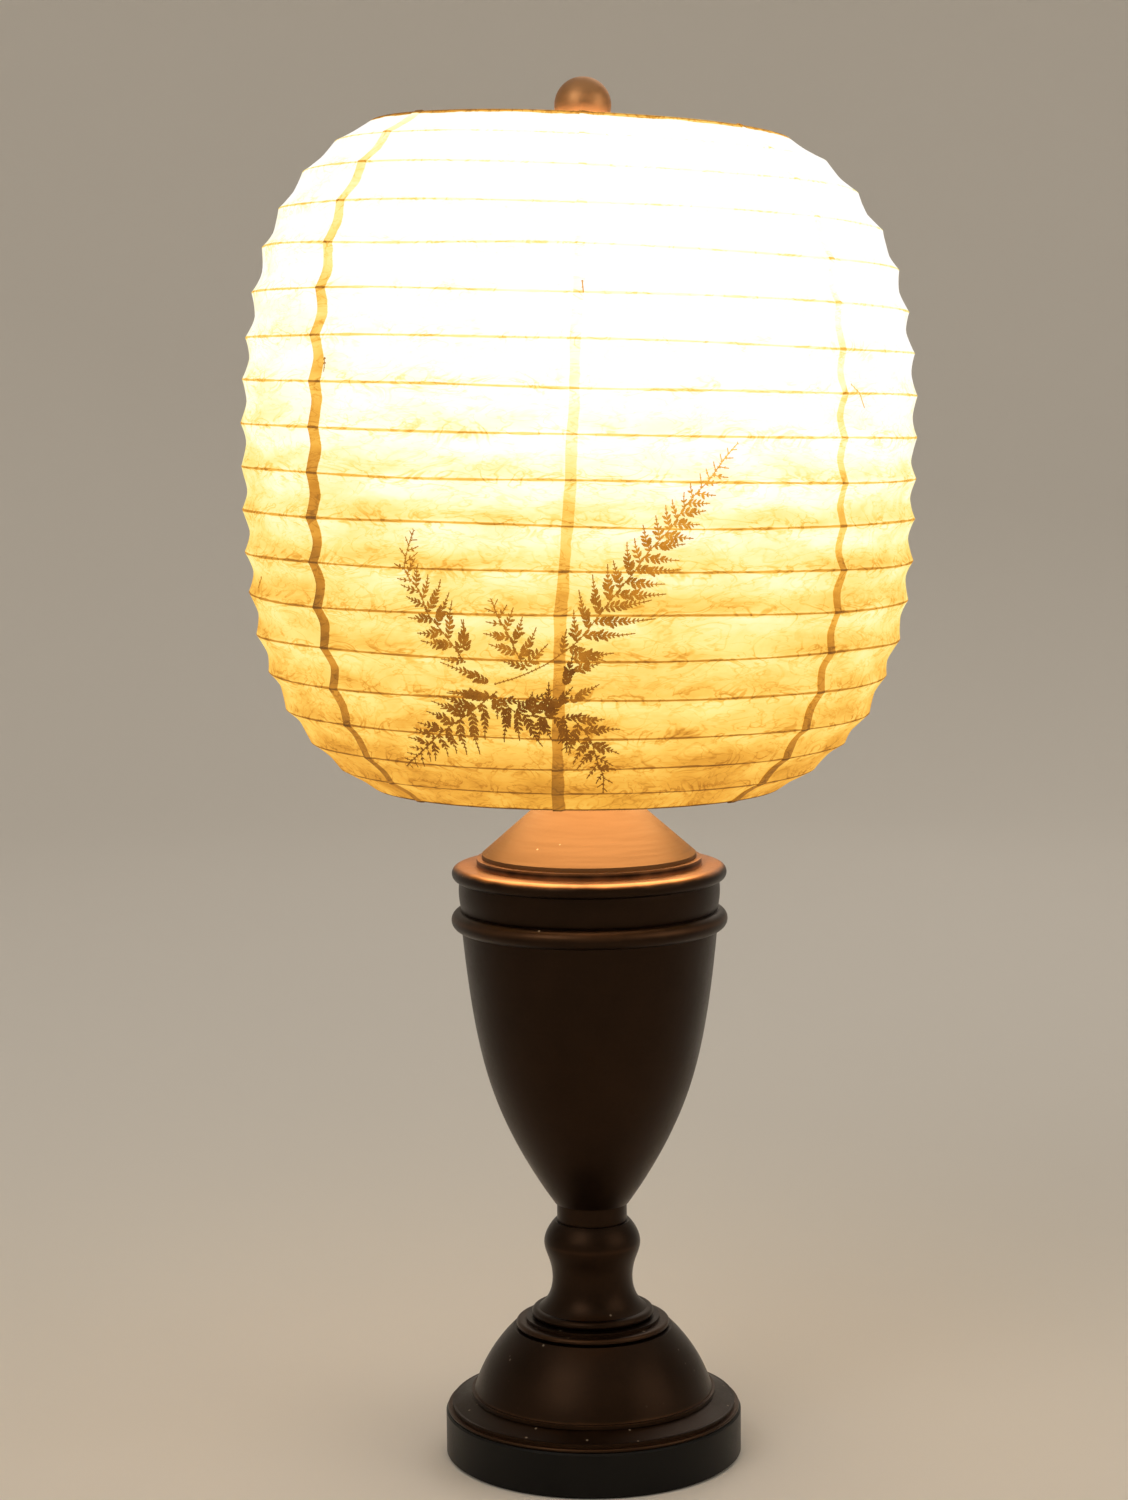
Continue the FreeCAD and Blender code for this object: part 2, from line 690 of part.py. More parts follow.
# ---- bulb ----
def make_bulb():
    base_z = bulb_z + bulb_tip_h
    base_top_z = base_z + bulb_base_h
    inner_r = screw_r - bulb_base_wall
    base = (
        Outline(0, base_z)
        .line(bulb_base_floor_r, base_z)
        .line(screw_r, base_z + bulb_base_taper)
        .line(screw_r, base_top_z)
        .line(inner_r, base_top_z)
        .line(inner_r, base_z + bulb_base_taper + bulb_base_wall)
        .line(bulb_base_floor_r - bulb_base_wall, base_z + bulb_base_wall)
        .line(0, base_z + bulb_base_wall)
        .turned()
    )
    save("bulb_base", base)
    save("bulb_contact", Part.makeCone(bulb_tip_r * 0.7, bulb_tip_r, bulb_tip_h, point(0, 0, bulb_z)))

    glass_z = base_top_z - bulb_neck_depth

    def envelope(inset):
        neck_r = bulb_neck_r - inset
        cone_z = base_top_z + bulb_cone_rise
        globe_r = bulb_r - inset
        away = math.hypot(neck_r, bulb_centre_z - cone_z)
        swing = math.atan2(cone_z - bulb_centre_z, neck_r) + math.acos(globe_r / away)
        touch = (globe_r * math.cos(swing), bulb_centre_z + globe_r * math.sin(swing))
        return (
            Outline(0, glass_z)
            .line(neck_r, glass_z)
            .line(neck_r, cone_z)
            .line(*touch)
            .arc(globe_r * math.cos(0.6), bulb_centre_z + globe_r * math.sin(0.6), 0, bulb_centre_z + globe_r)
            .turned()
        )

    save("bulb_glass", envelope(0.0).cut(envelope(glass_t)))

    stem_top = point(0, 0, bulb_centre_z - bulb_r / 2)
    solids = [Part.makeCone(bulb_neck_r / 2, bulb_neck_r / 4, stem_top.z - glass_z, point(0, 0, glass_z))]
    for side in (-1, 1):
        tip = point(side * filament_length / 2, 0, bulb_centre_z)
        solids.append(rod(filament_lead_r, point(side, 0, stem_top.z - 1), tip))
    half = point(filament_length / 2, 0, 0)
    solids.append(rod(filament_r, point(0, 0, bulb_centre_z) - half, point(0, 0, bulb_centre_z) + half))
    save("bulb_filament", solids[0].multiFuse(solids[1:]).removeSplitter())


# ---- finial ----
def make_finial(hub_top):
    seat_z = hub_top + seat_gap
    ball_seat_z = seat_z + finial_flange_t
    centre_z = ball_seat_z + math.sqrt(finial_r ** 2 - finial_seat_r ** 2)
    ball = Part.makeSphere(finial_r, point(0, 0, centre_z))
    below = Part.makeCylinder(2 * finial_r, finial_r, point(0, 0, ball_seat_z - finial_r))
    socket = Part.makeCylinder(insert_r + thread_gap, insert_h, point(0, 0, ball_seat_z))
    save("finial_ball", ball.cut(below).cut(socket))

    insert = Part.makeCylinder(finial_seat_r, finial_flange_t, point(0, 0, seat_z))
    insert = insert.fuse(Part.makeCylinder(insert_r, insert_h, point(0, 0, ball_seat_z)))
    bore = Part.makeCylinder(stud_hole_r, insert_bore_h, point(0, 0, seat_z))
    save("finial_insert", insert.cut(bore).removeSplitter())


# ---- shade ----
def make_shade():
    """The rings, ribs, spider and paper. Gives the height of the spider's middle."""
    top_r, top_z = ring_place(shade_top_z, ring_r)
    bottom_r, bottom_z = ring_place(shade_top_z - shade_height, ring_r)
    save("shade_top_ring", wire_ring(top_r, top_z, ring_r))
    save("shade_bottom_ring", wire_ring(bottom_r, bottom_z, ring_r))

    stations = shade_stations(rib_count + 1, rib_sag)
    for number in range(1, rib_count + 1):
        rib_ring_r, rib_z = ring_place(stations[number], rib_r)
        save("rib_%02d" % number, wire_ring(rib_ring_r, rib_z, rib_r))

    hub_z = top_z - spider_hub_t / 2
    spider = Part.makeCylinder(spider_hub_r, spider_hub_t, point(0, 0, hub_z))
    for arm in range(spider_arm_count):
        turn = spider_first_arm_deg + arm * 360 / spider_arm_count
        start = polar(spider_hub_r - spider_arm_r, turn, top_z)
        spider = spider.fuse(rod(spider_arm_r, start, polar(top_r - ring_r - weld_gap, turn, top_z)))
    hub_bore = Part.makeCylinder(stud_hole_r, 4 * spider_hub_t, point(0, 0, hub_z - spider_hub_t))
    save("shade_spider", spider.cut(hub_bore).removeSplitter())

    curve_steps = 28
    heights = shade_stations(curve_steps)
    outer = [shade_point(z) for z in heights]
    inner = [shade_point(z, paper_t) for z in heights]
    gore_deg = 360 / gore_count
    gore = Outline(*outer[0]).curve(outer[1:]).line(*inner[-1]).curve(inner[-2::-1]).turned(gore_deg)
    for number in range(gore_count):
        piece = gore.copy()
        piece.rotate(ORIGIN, UP, first_seam_deg + number * gore_deg)
        save("paper_gore_%d" % (number + 1), piece)
    return top_z


spider_z = make_shade()
flange_foot_z = spider_z - spider_hub_t / 2 - seat_gap - stud_flange_t
make_foot()
make_dome()
make_waist()
make_urn()
make_cone()
make_harp(flange_foot_z)
make_lampholder()
make_bulb()
make_finial(spider_z + spider_hub_t / 2)
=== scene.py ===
import bisect
import json
import math
import random
from collections import namedtuple
from functools import cache

import bmesh
import bpy
from bpy.props import FloatProperty, FloatVectorProperty, IntProperty, PointerProperty
from mathutils import Matrix, Vector, noise


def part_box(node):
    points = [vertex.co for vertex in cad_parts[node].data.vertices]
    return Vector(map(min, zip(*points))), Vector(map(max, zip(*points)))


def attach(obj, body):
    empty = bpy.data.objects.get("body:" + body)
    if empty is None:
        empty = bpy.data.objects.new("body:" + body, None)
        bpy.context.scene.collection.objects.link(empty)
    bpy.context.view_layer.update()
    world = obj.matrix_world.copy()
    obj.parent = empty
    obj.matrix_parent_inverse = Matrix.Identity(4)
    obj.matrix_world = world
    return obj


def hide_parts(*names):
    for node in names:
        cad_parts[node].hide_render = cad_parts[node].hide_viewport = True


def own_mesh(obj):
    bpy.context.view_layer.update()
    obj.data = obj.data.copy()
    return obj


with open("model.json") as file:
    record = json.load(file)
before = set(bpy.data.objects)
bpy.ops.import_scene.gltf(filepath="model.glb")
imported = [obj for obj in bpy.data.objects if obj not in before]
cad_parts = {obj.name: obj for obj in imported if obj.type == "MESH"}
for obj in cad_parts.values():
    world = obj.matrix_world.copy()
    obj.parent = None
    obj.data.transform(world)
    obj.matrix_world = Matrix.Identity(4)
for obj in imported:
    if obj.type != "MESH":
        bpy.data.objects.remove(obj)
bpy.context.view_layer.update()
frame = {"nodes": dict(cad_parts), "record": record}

bl_info = {
    "name": "Paper lantern table lamp",
    "version": (1, 0, 0),
    "blender": (4, 5, 0),
    "location": "View3D > Sidebar > Lantern",
    "description": "Paper, ribs, pressed fern and metal finishes of a table lamp with a paper lantern shade",
    "category": "Add Mesh",
}

RIB_COUNT = 17
GORE_COUNT = 8
LAST = RIB_COUNT + 1         # station of the bottom rim: the top rim is 0 and each rib its number
PAPER_OVER_WIRE = 0.0006     # from a wire's surface to the paper's outside
FLAT_RADIUS = 0.148          # radius at which the paper's pattern is laid out flat
TINY = 1e-6

# Each seam of the paper: its direction in degrees round the axis (-90 is the front), the share
# of light its double paper lets through and its width in millimetres, each at the top, the
# middle and the bottom, how far it wanders in millimetres, how many degrees it strays at the top
# and at the bottom, and a seed.
Seam = namedtuple("Seam", "direction light width wander drift seed")
SEAMS = [
    Seam(-138.0, (0.42, 0.27, 0.50), (5.0, 7.4, 3.6), 1.8, (0.0, 0.0), 3),
    Seam(-91.6, (0.72, 0.58, 0.50), (3.8, 4.6, 5.2), 0.6, (2.1, -3.7), 8),
    Seam(-43.0, (0.58, 0.50, 0.42), (3.4, 4.4, 5.4), 1.4, (0.0, 0.0), 5),
    Seam(1.0, (0.45, 0.42, 0.42), (4.6, 5.0, 4.8), 1.1, (0.0, 0.0), 11),
    Seam(45.0, (0.50, 0.40, 0.45), (5.0, 5.4, 4.4), 1.2, (0.0, 0.0), 14),
    Seam(90.5, (0.45, 0.45, 0.42), (4.4, 4.8, 5.2), 0.9, (0.0, 0.0), 17),
    Seam(134.0, (0.44, 0.40, 0.50), (4.8, 5.6, 4.6), 1.3, (0.0, 0.0), 21),
    Seam(177.5, (0.50, 0.44, 0.42), (4.6, 5.0, 5.0), 1.0, (0.0, 0.0), 26),
]


# ---- sizes and colours a user would change ----
class LanternPaper(bpy.types.PropertyGroup):
    thickness: FloatProperty(
        name="Thickness", description="Thickness of one sheet", default=0.0003, unit="LENGTH")
    sag: FloatProperty(
        name="Sag", description="How far the paper draws in between two middle ribs",
        default=0.0028, unit="LENGTH")
    columns: IntProperty(
        name="Columns", description="Mesh columns across one gore", default=52)
    rows: IntProperty(
        name="Rows", description="Mesh rows between two ribs", default=10)
    tint: FloatVectorProperty(
        name="Tint", description="Colour of the unlit paper", subtype="COLOR",
        default=(0.20, 0.125, 0.042))
    top_tilt: FloatProperty(
        name="Top Tilt", description="How far the top rim hangs down to the right",
        default=math.radians(3.0), subtype="ANGLE")
    middle_tilt: FloatProperty(
        name="Middle Tilt", description="The same at the middle ribs",
        default=math.radians(1.6), subtype="ANGLE")
    bottom_tilt: FloatProperty(
        name="Bottom Tilt", description="The same at the bottom rim",
        default=math.radians(0.5), subtype="ANGLE")
    swing: FloatProperty(
        name="Swing", description="How far the bottom rim hangs to the left of the axis",
        default=0.0040, unit="LENGTH")
    offset: FloatProperty(
        name="Offset", description="How far the whole shade sits to the left of the axis",
        default=0.0010, unit="LENGTH")
    fullness: FloatProperty(
        name="Fullness", description="Share by which the shade bellies out past its drawing",
        default=0.009, subtype="FACTOR")


class LanternRibs(bpy.types.PropertyGroup):
    unevenness: FloatProperty(
        name="Unevenness", description="Share by which the split bamboo varies in thickness",
        default=0.22, subtype="FACTOR")
    segments: IntProperty(
        name="Segments", description="Straight steps round one rib", default=180)
    wobble: FloatProperty(
        name="Wobble", description="How far a rib strays up and down", default=0.0007, unit="LENGTH")
    tint: FloatVectorProperty(
        name="Tint", description="Colour of the bamboo", subtype="COLOR", default=(0.30, 0.17, 0.07))


class LanternFern(bpy.types.PropertyGroup):
    leaflet: FloatProperty(
        name="Leaflet", description="Length of the longest leaflets", default=0.0043, unit="LENGTH")
    spacing: FloatProperty(
        name="Spacing", description="Between two leaflets on a branch", default=0.0018, unit="LENGTH")
    spread: FloatProperty(
        name="Spread", description="Angle of a leaflet to its branch",
        default=math.radians(40.0), subtype="ANGLE")
    tint: FloatVectorProperty(
        name="Tint", description="Colour of the dried leaves", subtype="COLOR",
        default=(0.12, 0.055, 0.016))


class LanternMetals(bpy.types.PropertyGroup):
    bronze: FloatVectorProperty(
        name="Bronze", description="Dark oil-rubbed bronze", subtype="COLOR",
        default=(0.0220, 0.0112, 0.0056))
    # Copper of the worn rings, brighter than wear alone: partly a painted highlight.
    worn_and_highlit: FloatVectorProperty(
        name="Worn", description="Copper that shows on worn edges", subtype="COLOR",
        default=(0.36, 0.17, 0.075))
    copper: FloatVectorProperty(
        name="Copper", description="Brushed copper of the cone", subtype="COLOR",
        default=(0.168, 0.094, 0.044))
    ball: FloatVectorProperty(
        name="Ball", description="Antique copper of the finial", subtype="COLOR",
        default=(0.60, 0.30, 0.125))


class LanternStage(bpy.types.PropertyGroup):
    floor: FloatVectorProperty(
        name="Floor", description="Colour of the floor and the wall behind", subtype="COLOR",
        default=(0.80, 0.765, 0.71))
    key: FloatProperty(name="Key", description="Power of the large front light", default=13.0, unit="POWER")
    fill: FloatProperty(name="Fill", description="Power of the side light", default=6.0, unit="POWER")
    bulb: FloatProperty(name="Bulb", description="Power of the lamp's own light", default=2.2, unit="POWER")
    spill: FloatProperty(
        name="Spill", description="Power of the light that falls out of the shade's bottom", default=0.42,
        unit="POWER")
    lens: FloatProperty(name="Lens", description="Focal length in millimetres", default=73.2)
    distance: FloatProperty(
        name="Distance", description="Camera to the lamp's axis", default=1.382, unit="LENGTH")
    eye: FloatProperty(name="Eye", description="Height of the camera", default=0.4864, unit="LENGTH")


# ---- small helpers for node trees ----
FLOAT, VECTOR, WHOLE = "NodeSocketFloat", "NodeSocketVector", "NodeSocketInt"
GEOMETRY, MATERIAL, OBJECT = "NodeSocketGeometry", "NodeSocketMaterial", "NodeSocketObject"


def fill(tree, node, inputs):
    """Gives a node's inputs values or links."""
    for key, value in inputs.items():
        if isinstance(value, bpy.types.NodeSocket):
            tree.links.new(value, node.inputs[key])
        else:
            node.inputs[key].default_value = value
    return node


def add(tree, kind, inputs=None, **settings):
    """Adds a node, sets it up, and gives its inputs values or links."""
    node = tree.nodes.new(kind)
    for name, value in settings.items():
        setattr(node, name, value)
    return fill(tree, node, inputs or {})


def maths(tree, operation, *values, clamp=False):
    inputs = dict(enumerate(values))
    return add(tree, "ShaderNodeMath", inputs, operation=operation, use_clamp=clamp).outputs[0]


def ramp(tree, factor, stops):
    """A colour ramp through (place, colour) stops."""
    node = add(tree, "ShaderNodeValToRGB", {"Fac": factor})
    elements = node.color_ramp.elements
    while len(elements) < len(stops):
        elements.new(0.5)
    for element, (place, colour) in zip(elements, stops):
        element.position = place
        element.color = (*colour, 1.0)
    return node.outputs["Color"]


def band(tree, value, low, high, out_low=0.0, out_high=1.0):
    """A smooth step of a value from one level to another."""
    inputs = {"Value": value, "From Min": low, "From Max": high, "To Min": out_low, "To Max": out_high}
    return add(tree, "ShaderNodeMapRange", inputs, interpolation_type="SMOOTHSTEP").outputs["Result"]


def group(name, inputs, outputs, kind="ShaderNodeTree"):
    """An empty node group with named sockets. An input is (name, kind, default)."""
    tree = bpy.data.node_groups.new(name, kind)
    for label, socket_kind, default in inputs:
        socket = tree.interface.new_socket(label, in_out="INPUT", socket_type=socket_kind)
        if default is not None:
            socket.default_value = default
    for label, socket_kind in outputs:
        tree.interface.new_socket(label, in_out="OUTPUT", socket_type=socket_kind)
    return tree, add(tree, "NodeGroupInput"), add(tree, "NodeGroupOutput")


def placed(tree, group_tree, inputs):
    """A shader group's node with its own values."""
    return add(tree, "ShaderNodeGroup", inputs, node_tree=group_tree)


@cache
def mottle_group():
    """Soft uneven tone and a fine matching height, for any cast, painted or moulded surface."""
    tree, given, result = group(
        "Mottle",
        [("Vector", VECTOR, None), ("Scale", FLOAT, 60.0), ("Fine Scale", FLOAT, 900.0),
         ("Contrast", FLOAT, 0.5)],
        [("Tone", FLOAT), ("Height", FLOAT)])
    broad = add(tree, "ShaderNodeTexNoise",
                {"Vector": given.outputs["Vector"], "Scale": given.outputs["Scale"], "Detail": 5.0})
    fine = add(tree, "ShaderNodeTexNoise",
               {"Vector": given.outputs["Vector"], "Scale": given.outputs["Fine Scale"], "Detail": 3.0})
    both = maths(tree, "ADD", maths(tree, "MULTIPLY", broad.outputs["Fac"], 0.7),
                 maths(tree, "MULTIPLY", fine.outputs["Fac"], 0.3))
    spread = maths(tree, "MULTIPLY", maths(tree, "SUBTRACT", both, 0.5), given.outputs["Contrast"])
    tree.links.new(maths(tree, "ADD", spread, 0.5, clamp=True), result.inputs["Tone"])
    tree.links.new(both, result.inputs["Height"])
    return tree


@cache
def turned_group():
    """Fine lines that run round the lamp's axis, as a lathe or a brush leaves them."""
    tree, given, result = group(
        "Turned Lines",
        [("Vector", VECTOR, None), ("Lines", FLOAT, 1500.0), ("Breaks", FLOAT, 3.0)],
        [("Tone", FLOAT), ("Height", FLOAT)])
    parts = add(tree, "ShaderNodeSeparateXYZ", {0: given.outputs["Vector"]})
    x, y, z = (parts.outputs[n] for n in "XYZ")
    across = maths(tree, "ADD", maths(tree, "MULTIPLY", x, x), maths(tree, "MULTIPLY", y, y))
    radius = maths(tree, "SQRT", across)
    along = maths(tree, "ADD", radius, maths(tree, "MULTIPLY", z, 0.8))
    lines = maths(tree, "MULTIPLY", along, given.outputs["Lines"])
    side = maths(tree, "DIVIDE", x, maths(tree, "ADD", radius, 0.0001))
    face = maths(tree, "DIVIDE", y, maths(tree, "ADD", radius, 0.0001))
    place = add(tree, "ShaderNodeCombineXYZ", {
        "X": maths(tree, "MULTIPLY", side, given.outputs["Breaks"]),
        "Y": maths(tree, "MULTIPLY", face, given.outputs["Breaks"]),
        "Z": lines})
    grain = add(tree, "ShaderNodeTexNoise", {"Vector": place.outputs[0], "Scale": 1.0, "Detail": 2.0})
    tree.links.new(grain.outputs["Fac"], result.inputs["Tone"])
    tree.links.new(grain.outputs["Fac"], result.inputs["Height"])
    return tree


@cache
def wear_and_highlight_group():
    """A ring mask at one height, for copper wear and a painted highlight: full in the middle, broken up and
    fading above and below.
    """
    tree, given, result = group(
        "Ring Wear And Highlight",
        [("Vector", VECTOR, None), ("Height", FLOAT, 0.0), ("Width", FLOAT, 0.002)],
        [("Mask", FLOAT)])
    z = add(tree, "ShaderNodeSeparateXYZ", {0: given.outputs["Vector"]}).outputs["Z"]
    off = maths(tree, "ABSOLUTE", maths(tree, "SUBTRACT", z, given.outputs["Height"]))
    away = maths(tree, "DIVIDE", off, given.outputs["Width"])
    patches = add(tree, "ShaderNodeTexNoise",
                  {"Vector": given.outputs["Vector"], "Scale": 90.0, "Detail": 6.0})
    ragged = maths(tree, "ADD", away, maths(tree, "MULTIPLY", patches.outputs["Fac"], 0.9))
    tree.links.new(band(tree, ragged, 1.5, 0.35), result.inputs["Mask"])
    return tree


@cache
def dust_group():
    """Small pale specks that lie on surfaces that face up."""
    tree, given, result = group(
        "Dust Specks",
        [("Vector", VECTOR, None), ("Scale", FLOAT, 420.0), ("Amount", FLOAT, 0.12)],
        [("Mask", FLOAT)])
    cells = add(tree, "ShaderNodeTexVoronoi",
                {"Vector": given.outputs["Vector"], "Scale": given.outputs["Scale"], "Randomness": 1.0})
    pick = add(tree, "ShaderNodeSeparateColor", {"Color": cells.outputs["Color"]}).outputs[0]
    chosen = maths(tree, "LESS_THAN", pick, given.outputs["Amount"])
    spot = band(tree, cells.outputs["Distance"], 0.20, 0.08)
    facing = add(tree, "ShaderNodeSeparateXYZ", {0: add(tree, "ShaderNodeNewGeometry").outputs["Normal"]})
    upward = band(tree, facing.outputs["Z"], 0.3, 0.9)
    specks = maths(tree, "MULTIPLY", chosen, spot)
    tree.links.new(maths(tree, "MULTIPLY", specks, upward), result.inputs["Mask"])
    return tree


@cache
def fibre_group():
    """Handmade paper: soft clouds, creases and thin long fibres, stretched round the shade."""
    tree, given, result = group(
        "Paper Fibres",
        [("Vector", VECTOR, None), ("Clouds", FLOAT, 60.0), ("Fibres", FLOAT, 150.0)],
        [("Cloud", FLOAT), ("Fibre", FLOAT), ("Crease", FLOAT), ("Height", FLOAT)])
    flat = add(tree, "ShaderNodeMapping", {"Vector": given.outputs["Vector"], "Scale": (0.38, 1.0, 1.0)})
    cloud = add(tree, "ShaderNodeTexNoise", {
        "Vector": flat.outputs[0], "Scale": given.outputs["Clouds"], "Detail": 6.0, "Roughness": 0.62,
        "Distortion": 0.4})
    turned = add(tree, "ShaderNodeMapping",
                 {"Vector": given.outputs["Vector"], "Rotation": (0.0, 0.0, 0.35), "Scale": (0.3, 1.0, 1.0)})
    strand = add(tree, "ShaderNodeTexNoise", {
        "Vector": turned.outputs[0], "Scale": given.outputs["Fibres"], "Detail": 2.0, "Distortion": 1.6})
    ridge = maths(tree, "ABSOLUTE", maths(tree, "SUBTRACT", strand.outputs["Fac"], 0.5))
    fibre = band(tree, ridge, 0.022, 0.004)
    crossed = add(tree, "ShaderNodeMapping", {
        "Vector": given.outputs["Vector"], "Rotation": (0.0, 0.0, -0.5), "Scale": (0.45, 1.0, 1.0)})
    fold = add(tree, "ShaderNodeTexNoise", {
        "Vector": crossed.outputs[0], "Scale": maths(tree, "MULTIPLY", given.outputs["Clouds"], 1.3),
        "Detail": 3.0, "Distortion": 2.2})
    off_fold = maths(tree, "ABSOLUTE", maths(tree, "SUBTRACT", fold.outputs["Fac"], 0.47))
    crease = band(tree, off_fold, 0.05, 0.0)
    height = maths(tree, "ADD", maths(tree, "MULTIPLY", cloud.outputs["Fac"], 0.5),
                   maths(tree, "MULTIPLY", crease, 0.35))
    tree.links.new(cloud.outputs["Fac"], result.inputs["Cloud"])
    tree.links.new(fibre, result.inputs["Fibre"])
    tree.links.new(crease, result.inputs["Crease"])
    tree.links.new(maths(tree, "ADD", height, maths(tree, "MULTIPLY", fibre, 0.2)), result.inputs["Height"])
    return tree


# ---- materials ----
BRONZE_DUST = (0.42, 0.33, 0.25)
COPPER_DUST = (0.55, 0.45, 0.34)
PAPER_SHINE = 0.12


def new_material(name):
    """A material with only a Principled shader. Gives the material, its tree and the shader."""
    material = bpy.data.materials.new(name)
    material.use_nodes = True
    tree = material.node_tree
    shader = tree.nodes["Principled BSDF"]
    return material, tree, shader


def bumped(tree, shader, height, strength, distance):
    inputs = {"Height": height, "Strength": strength, "Distance": distance}
    tree.links.new(add(tree, "ShaderNodeBump", inputs).outputs["Normal"], shader.inputs["Normal"])


def mixed(tree, factor, first, second):
    """Mixes two colours, each a socket or a plain colour."""
    node = add(tree, "ShaderNodeMix", {0: factor}, data_type="RGBA")
    for index, colour in ((6, first), (7, second)):
        plain = not isinstance(colour, bpy.types.NodeSocket)
        fill(tree, node, {index: (*colour[:3], 1.0) if plain else colour})
    return node.outputs[2]


def object_coordinates(tree):
    return add(tree, "ShaderNodeTexCoord").outputs["Object"]


def scaled(colour, share):
    return tuple(channel * share for channel in colour[:3])


def plain_finish(name, colour, contrast=0.5, scale=60.0, fine=900.0, roughness=(0.4, 0.6), metallic=0.0,
                 bump=0.1, depth=0.0002, spread=0.35, shine=0.5):
    """A finish with uneven tone, roughness and a light grain, for the smaller pieces."""
    material, tree, shader = new_material(name)
    cloud = placed(tree, mottle_group(), {
        "Vector": object_coordinates(tree), "Scale": scale, "Fine Scale": fine, "Contrast": contrast})
    tone = cloud.outputs["Tone"]
    stops = [(0.2, scaled(colour, 1 - spread)), (0.8, scaled(colour, 1 + spread))]
    fill(tree, shader, {
        "Base Color": ramp(tree, tone, stops),
        "Roughness": band(tree, tone, 0.2, 0.8, *roughness),
        "Metallic": metallic, "Specular IOR Level": shine})
    bumped(tree, shader, cloud.outputs["Height"], bump, depth)
    return material


def bronze_finish(settings):
    """Oil-rubbed bronze: nearly black brown, with copper coming through on the turned rings; the brightest
    copper, on the tops under the lamp, is partly a painted highlight.
    """
    material, tree, shader = new_material("aged_bronze")
    place = object_coordinates(tree)
    cloud = placed(tree, mottle_group(),
                   {"Vector": place, "Scale": 38.0, "Fine Scale": 700.0, "Contrast": 1.1})
    tone = cloud.outputs["Tone"]
    lines = placed(tree, turned_group(), {"Vector": place, "Lines": 1300.0, "Breaks": 2.0})
    colour = mixed(tree, tone, scaled(settings.bronze, 0.55), scaled(settings.bronze, 1.55))
    # Copper rings: partly wear, partly a painted highlight where the lamp's light falls on the tops.
    worn_and_highlit = None
    for height, width, strength in worn_and_highlit_rings():
        ring = placed(tree, wear_and_highlight_group(), {"Vector": place, "Height": height, "Width": width})
        mask = maths(tree, "MULTIPLY", ring.outputs["Mask"], strength)
        worn_and_highlit = mask if worn_and_highlit is None else maths(tree, "MAXIMUM", worn_and_highlit, mask)
    colour = mixed(tree, maths(tree, "MULTIPLY", worn_and_highlit, 0.9), colour, settings.worn_and_highlit)
    streak = maths(tree, "MULTIPLY", lines.outputs["Tone"], 0.16)
    colour = mixed(tree, streak, colour, scaled(settings.worn_and_highlit, 0.12))
    specks = placed(tree, dust_group(), {"Vector": place, "Scale": 260.0, "Amount": 0.10}).outputs["Mask"]
    rough = band(tree, tone, 0.2, 0.8, 0.30, 0.46)
    fill(tree, shader, {
        "Base Color": mixed(tree, maths(tree, "MULTIPLY", specks, 0.7), colour, BRONZE_DUST),
        "Roughness": maths(tree, "ADD", rough, maths(tree, "MULTIPLY", specks, 0.4)),
        "Metallic": band(tree, specks, 0.0, 1.0, 0.92, 0.1)})
    bumped(tree, shader, cloud.outputs["Height"], 0.10, 0.0002)
    return material


def worn_and_highlit_rings():
    """Turned edges where copper shows, partly real wear and partly a painted highlight on the tops that face
    the lamp: height, how far up and down, and how strongly.
    """
    urn_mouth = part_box("urn_body")[1].z
    dome_lo, dome_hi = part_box("base_dome")
    waist_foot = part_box("turned_waist")[0].z
    seat_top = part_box("cone_seat_ring")[1].z
    return [
        (urn_mouth, 0.0022, 1.0),
        (urn_mouth - 0.0235, 0.0020, 0.16),     # the bead under the mouth
        (seat_top, 0.0016, 0.8),
        (dome_hi.z - 0.0006, 0.0016, 0.10),
        (dome_lo.z + 0.0016, 0.0009, 0.14),     # the dome's foot
        (dome_lo.z + 0.0092, 0.0010, 0.12),     # its lower step
        (waist_foot + 0.0365, 0.0016, 0.05),    # the waist's ring
    ]


def copper_finish(name, colour, lines, roughness, streak, patina):
    """Copper brushed round the axis, with a soft brown patina."""
    material, tree, shader = new_material(name)
    place = object_coordinates(tree)
    brushed = placed(tree, turned_group(), {"Vector": place, "Lines": lines, "Breaks": 1.6})
    cloud = placed(tree, mottle_group(),
                   {"Vector": place, "Scale": 45.0, "Fine Scale": 500.0, "Contrast": 0.9})
    clean = mixed(tree, brushed.outputs["Tone"], scaled(colour, 1 - streak), scaled(colour, 1 + streak))
    aged = mixed(tree, maths(tree, "MULTIPLY", cloud.outputs["Tone"], patina), clean, scaled(colour, 0.35))
    specks = placed(tree, dust_group(), {"Vector": place, "Scale": 300.0, "Amount": 0.025}).outputs["Mask"]
    fill(tree, shader, {
        "Base Color": mixed(tree, maths(tree, "MULTIPLY", specks, 0.6), aged, COPPER_DUST),
        "Roughness": band(tree, brushed.outputs["Tone"], 0.25, 0.75, *roughness),
        "Metallic": 0.95})
    bumped(tree, shader, brushed.outputs["Height"], 0.12, 0.0001)
    return material


# Light through the paper, from dark to full, as colours of the glow.
GLOW_FULL = 3.4
GLOW_STOPS = [
    (0.0, (0.010, 0.003, 0.001)),
    (0.15, (0.115, 0.034, 0.003)),
    (0.3, (0.270, 0.095, 0.007)),
    (0.5, (0.560, 0.215, 0.016)),
    (0.75, (0.840, 0.400, 0.045)),
    (1.0, (0.950, 0.590, 0.105)),
    (1.4, (0.970, 0.790, 0.240)),
    (1.9, (0.985, 0.920, 0.450)),
    (2.5, (0.995, 0.975, 0.740)),
    (GLOW_FULL, (1.0, 1.0, 0.985)),
]


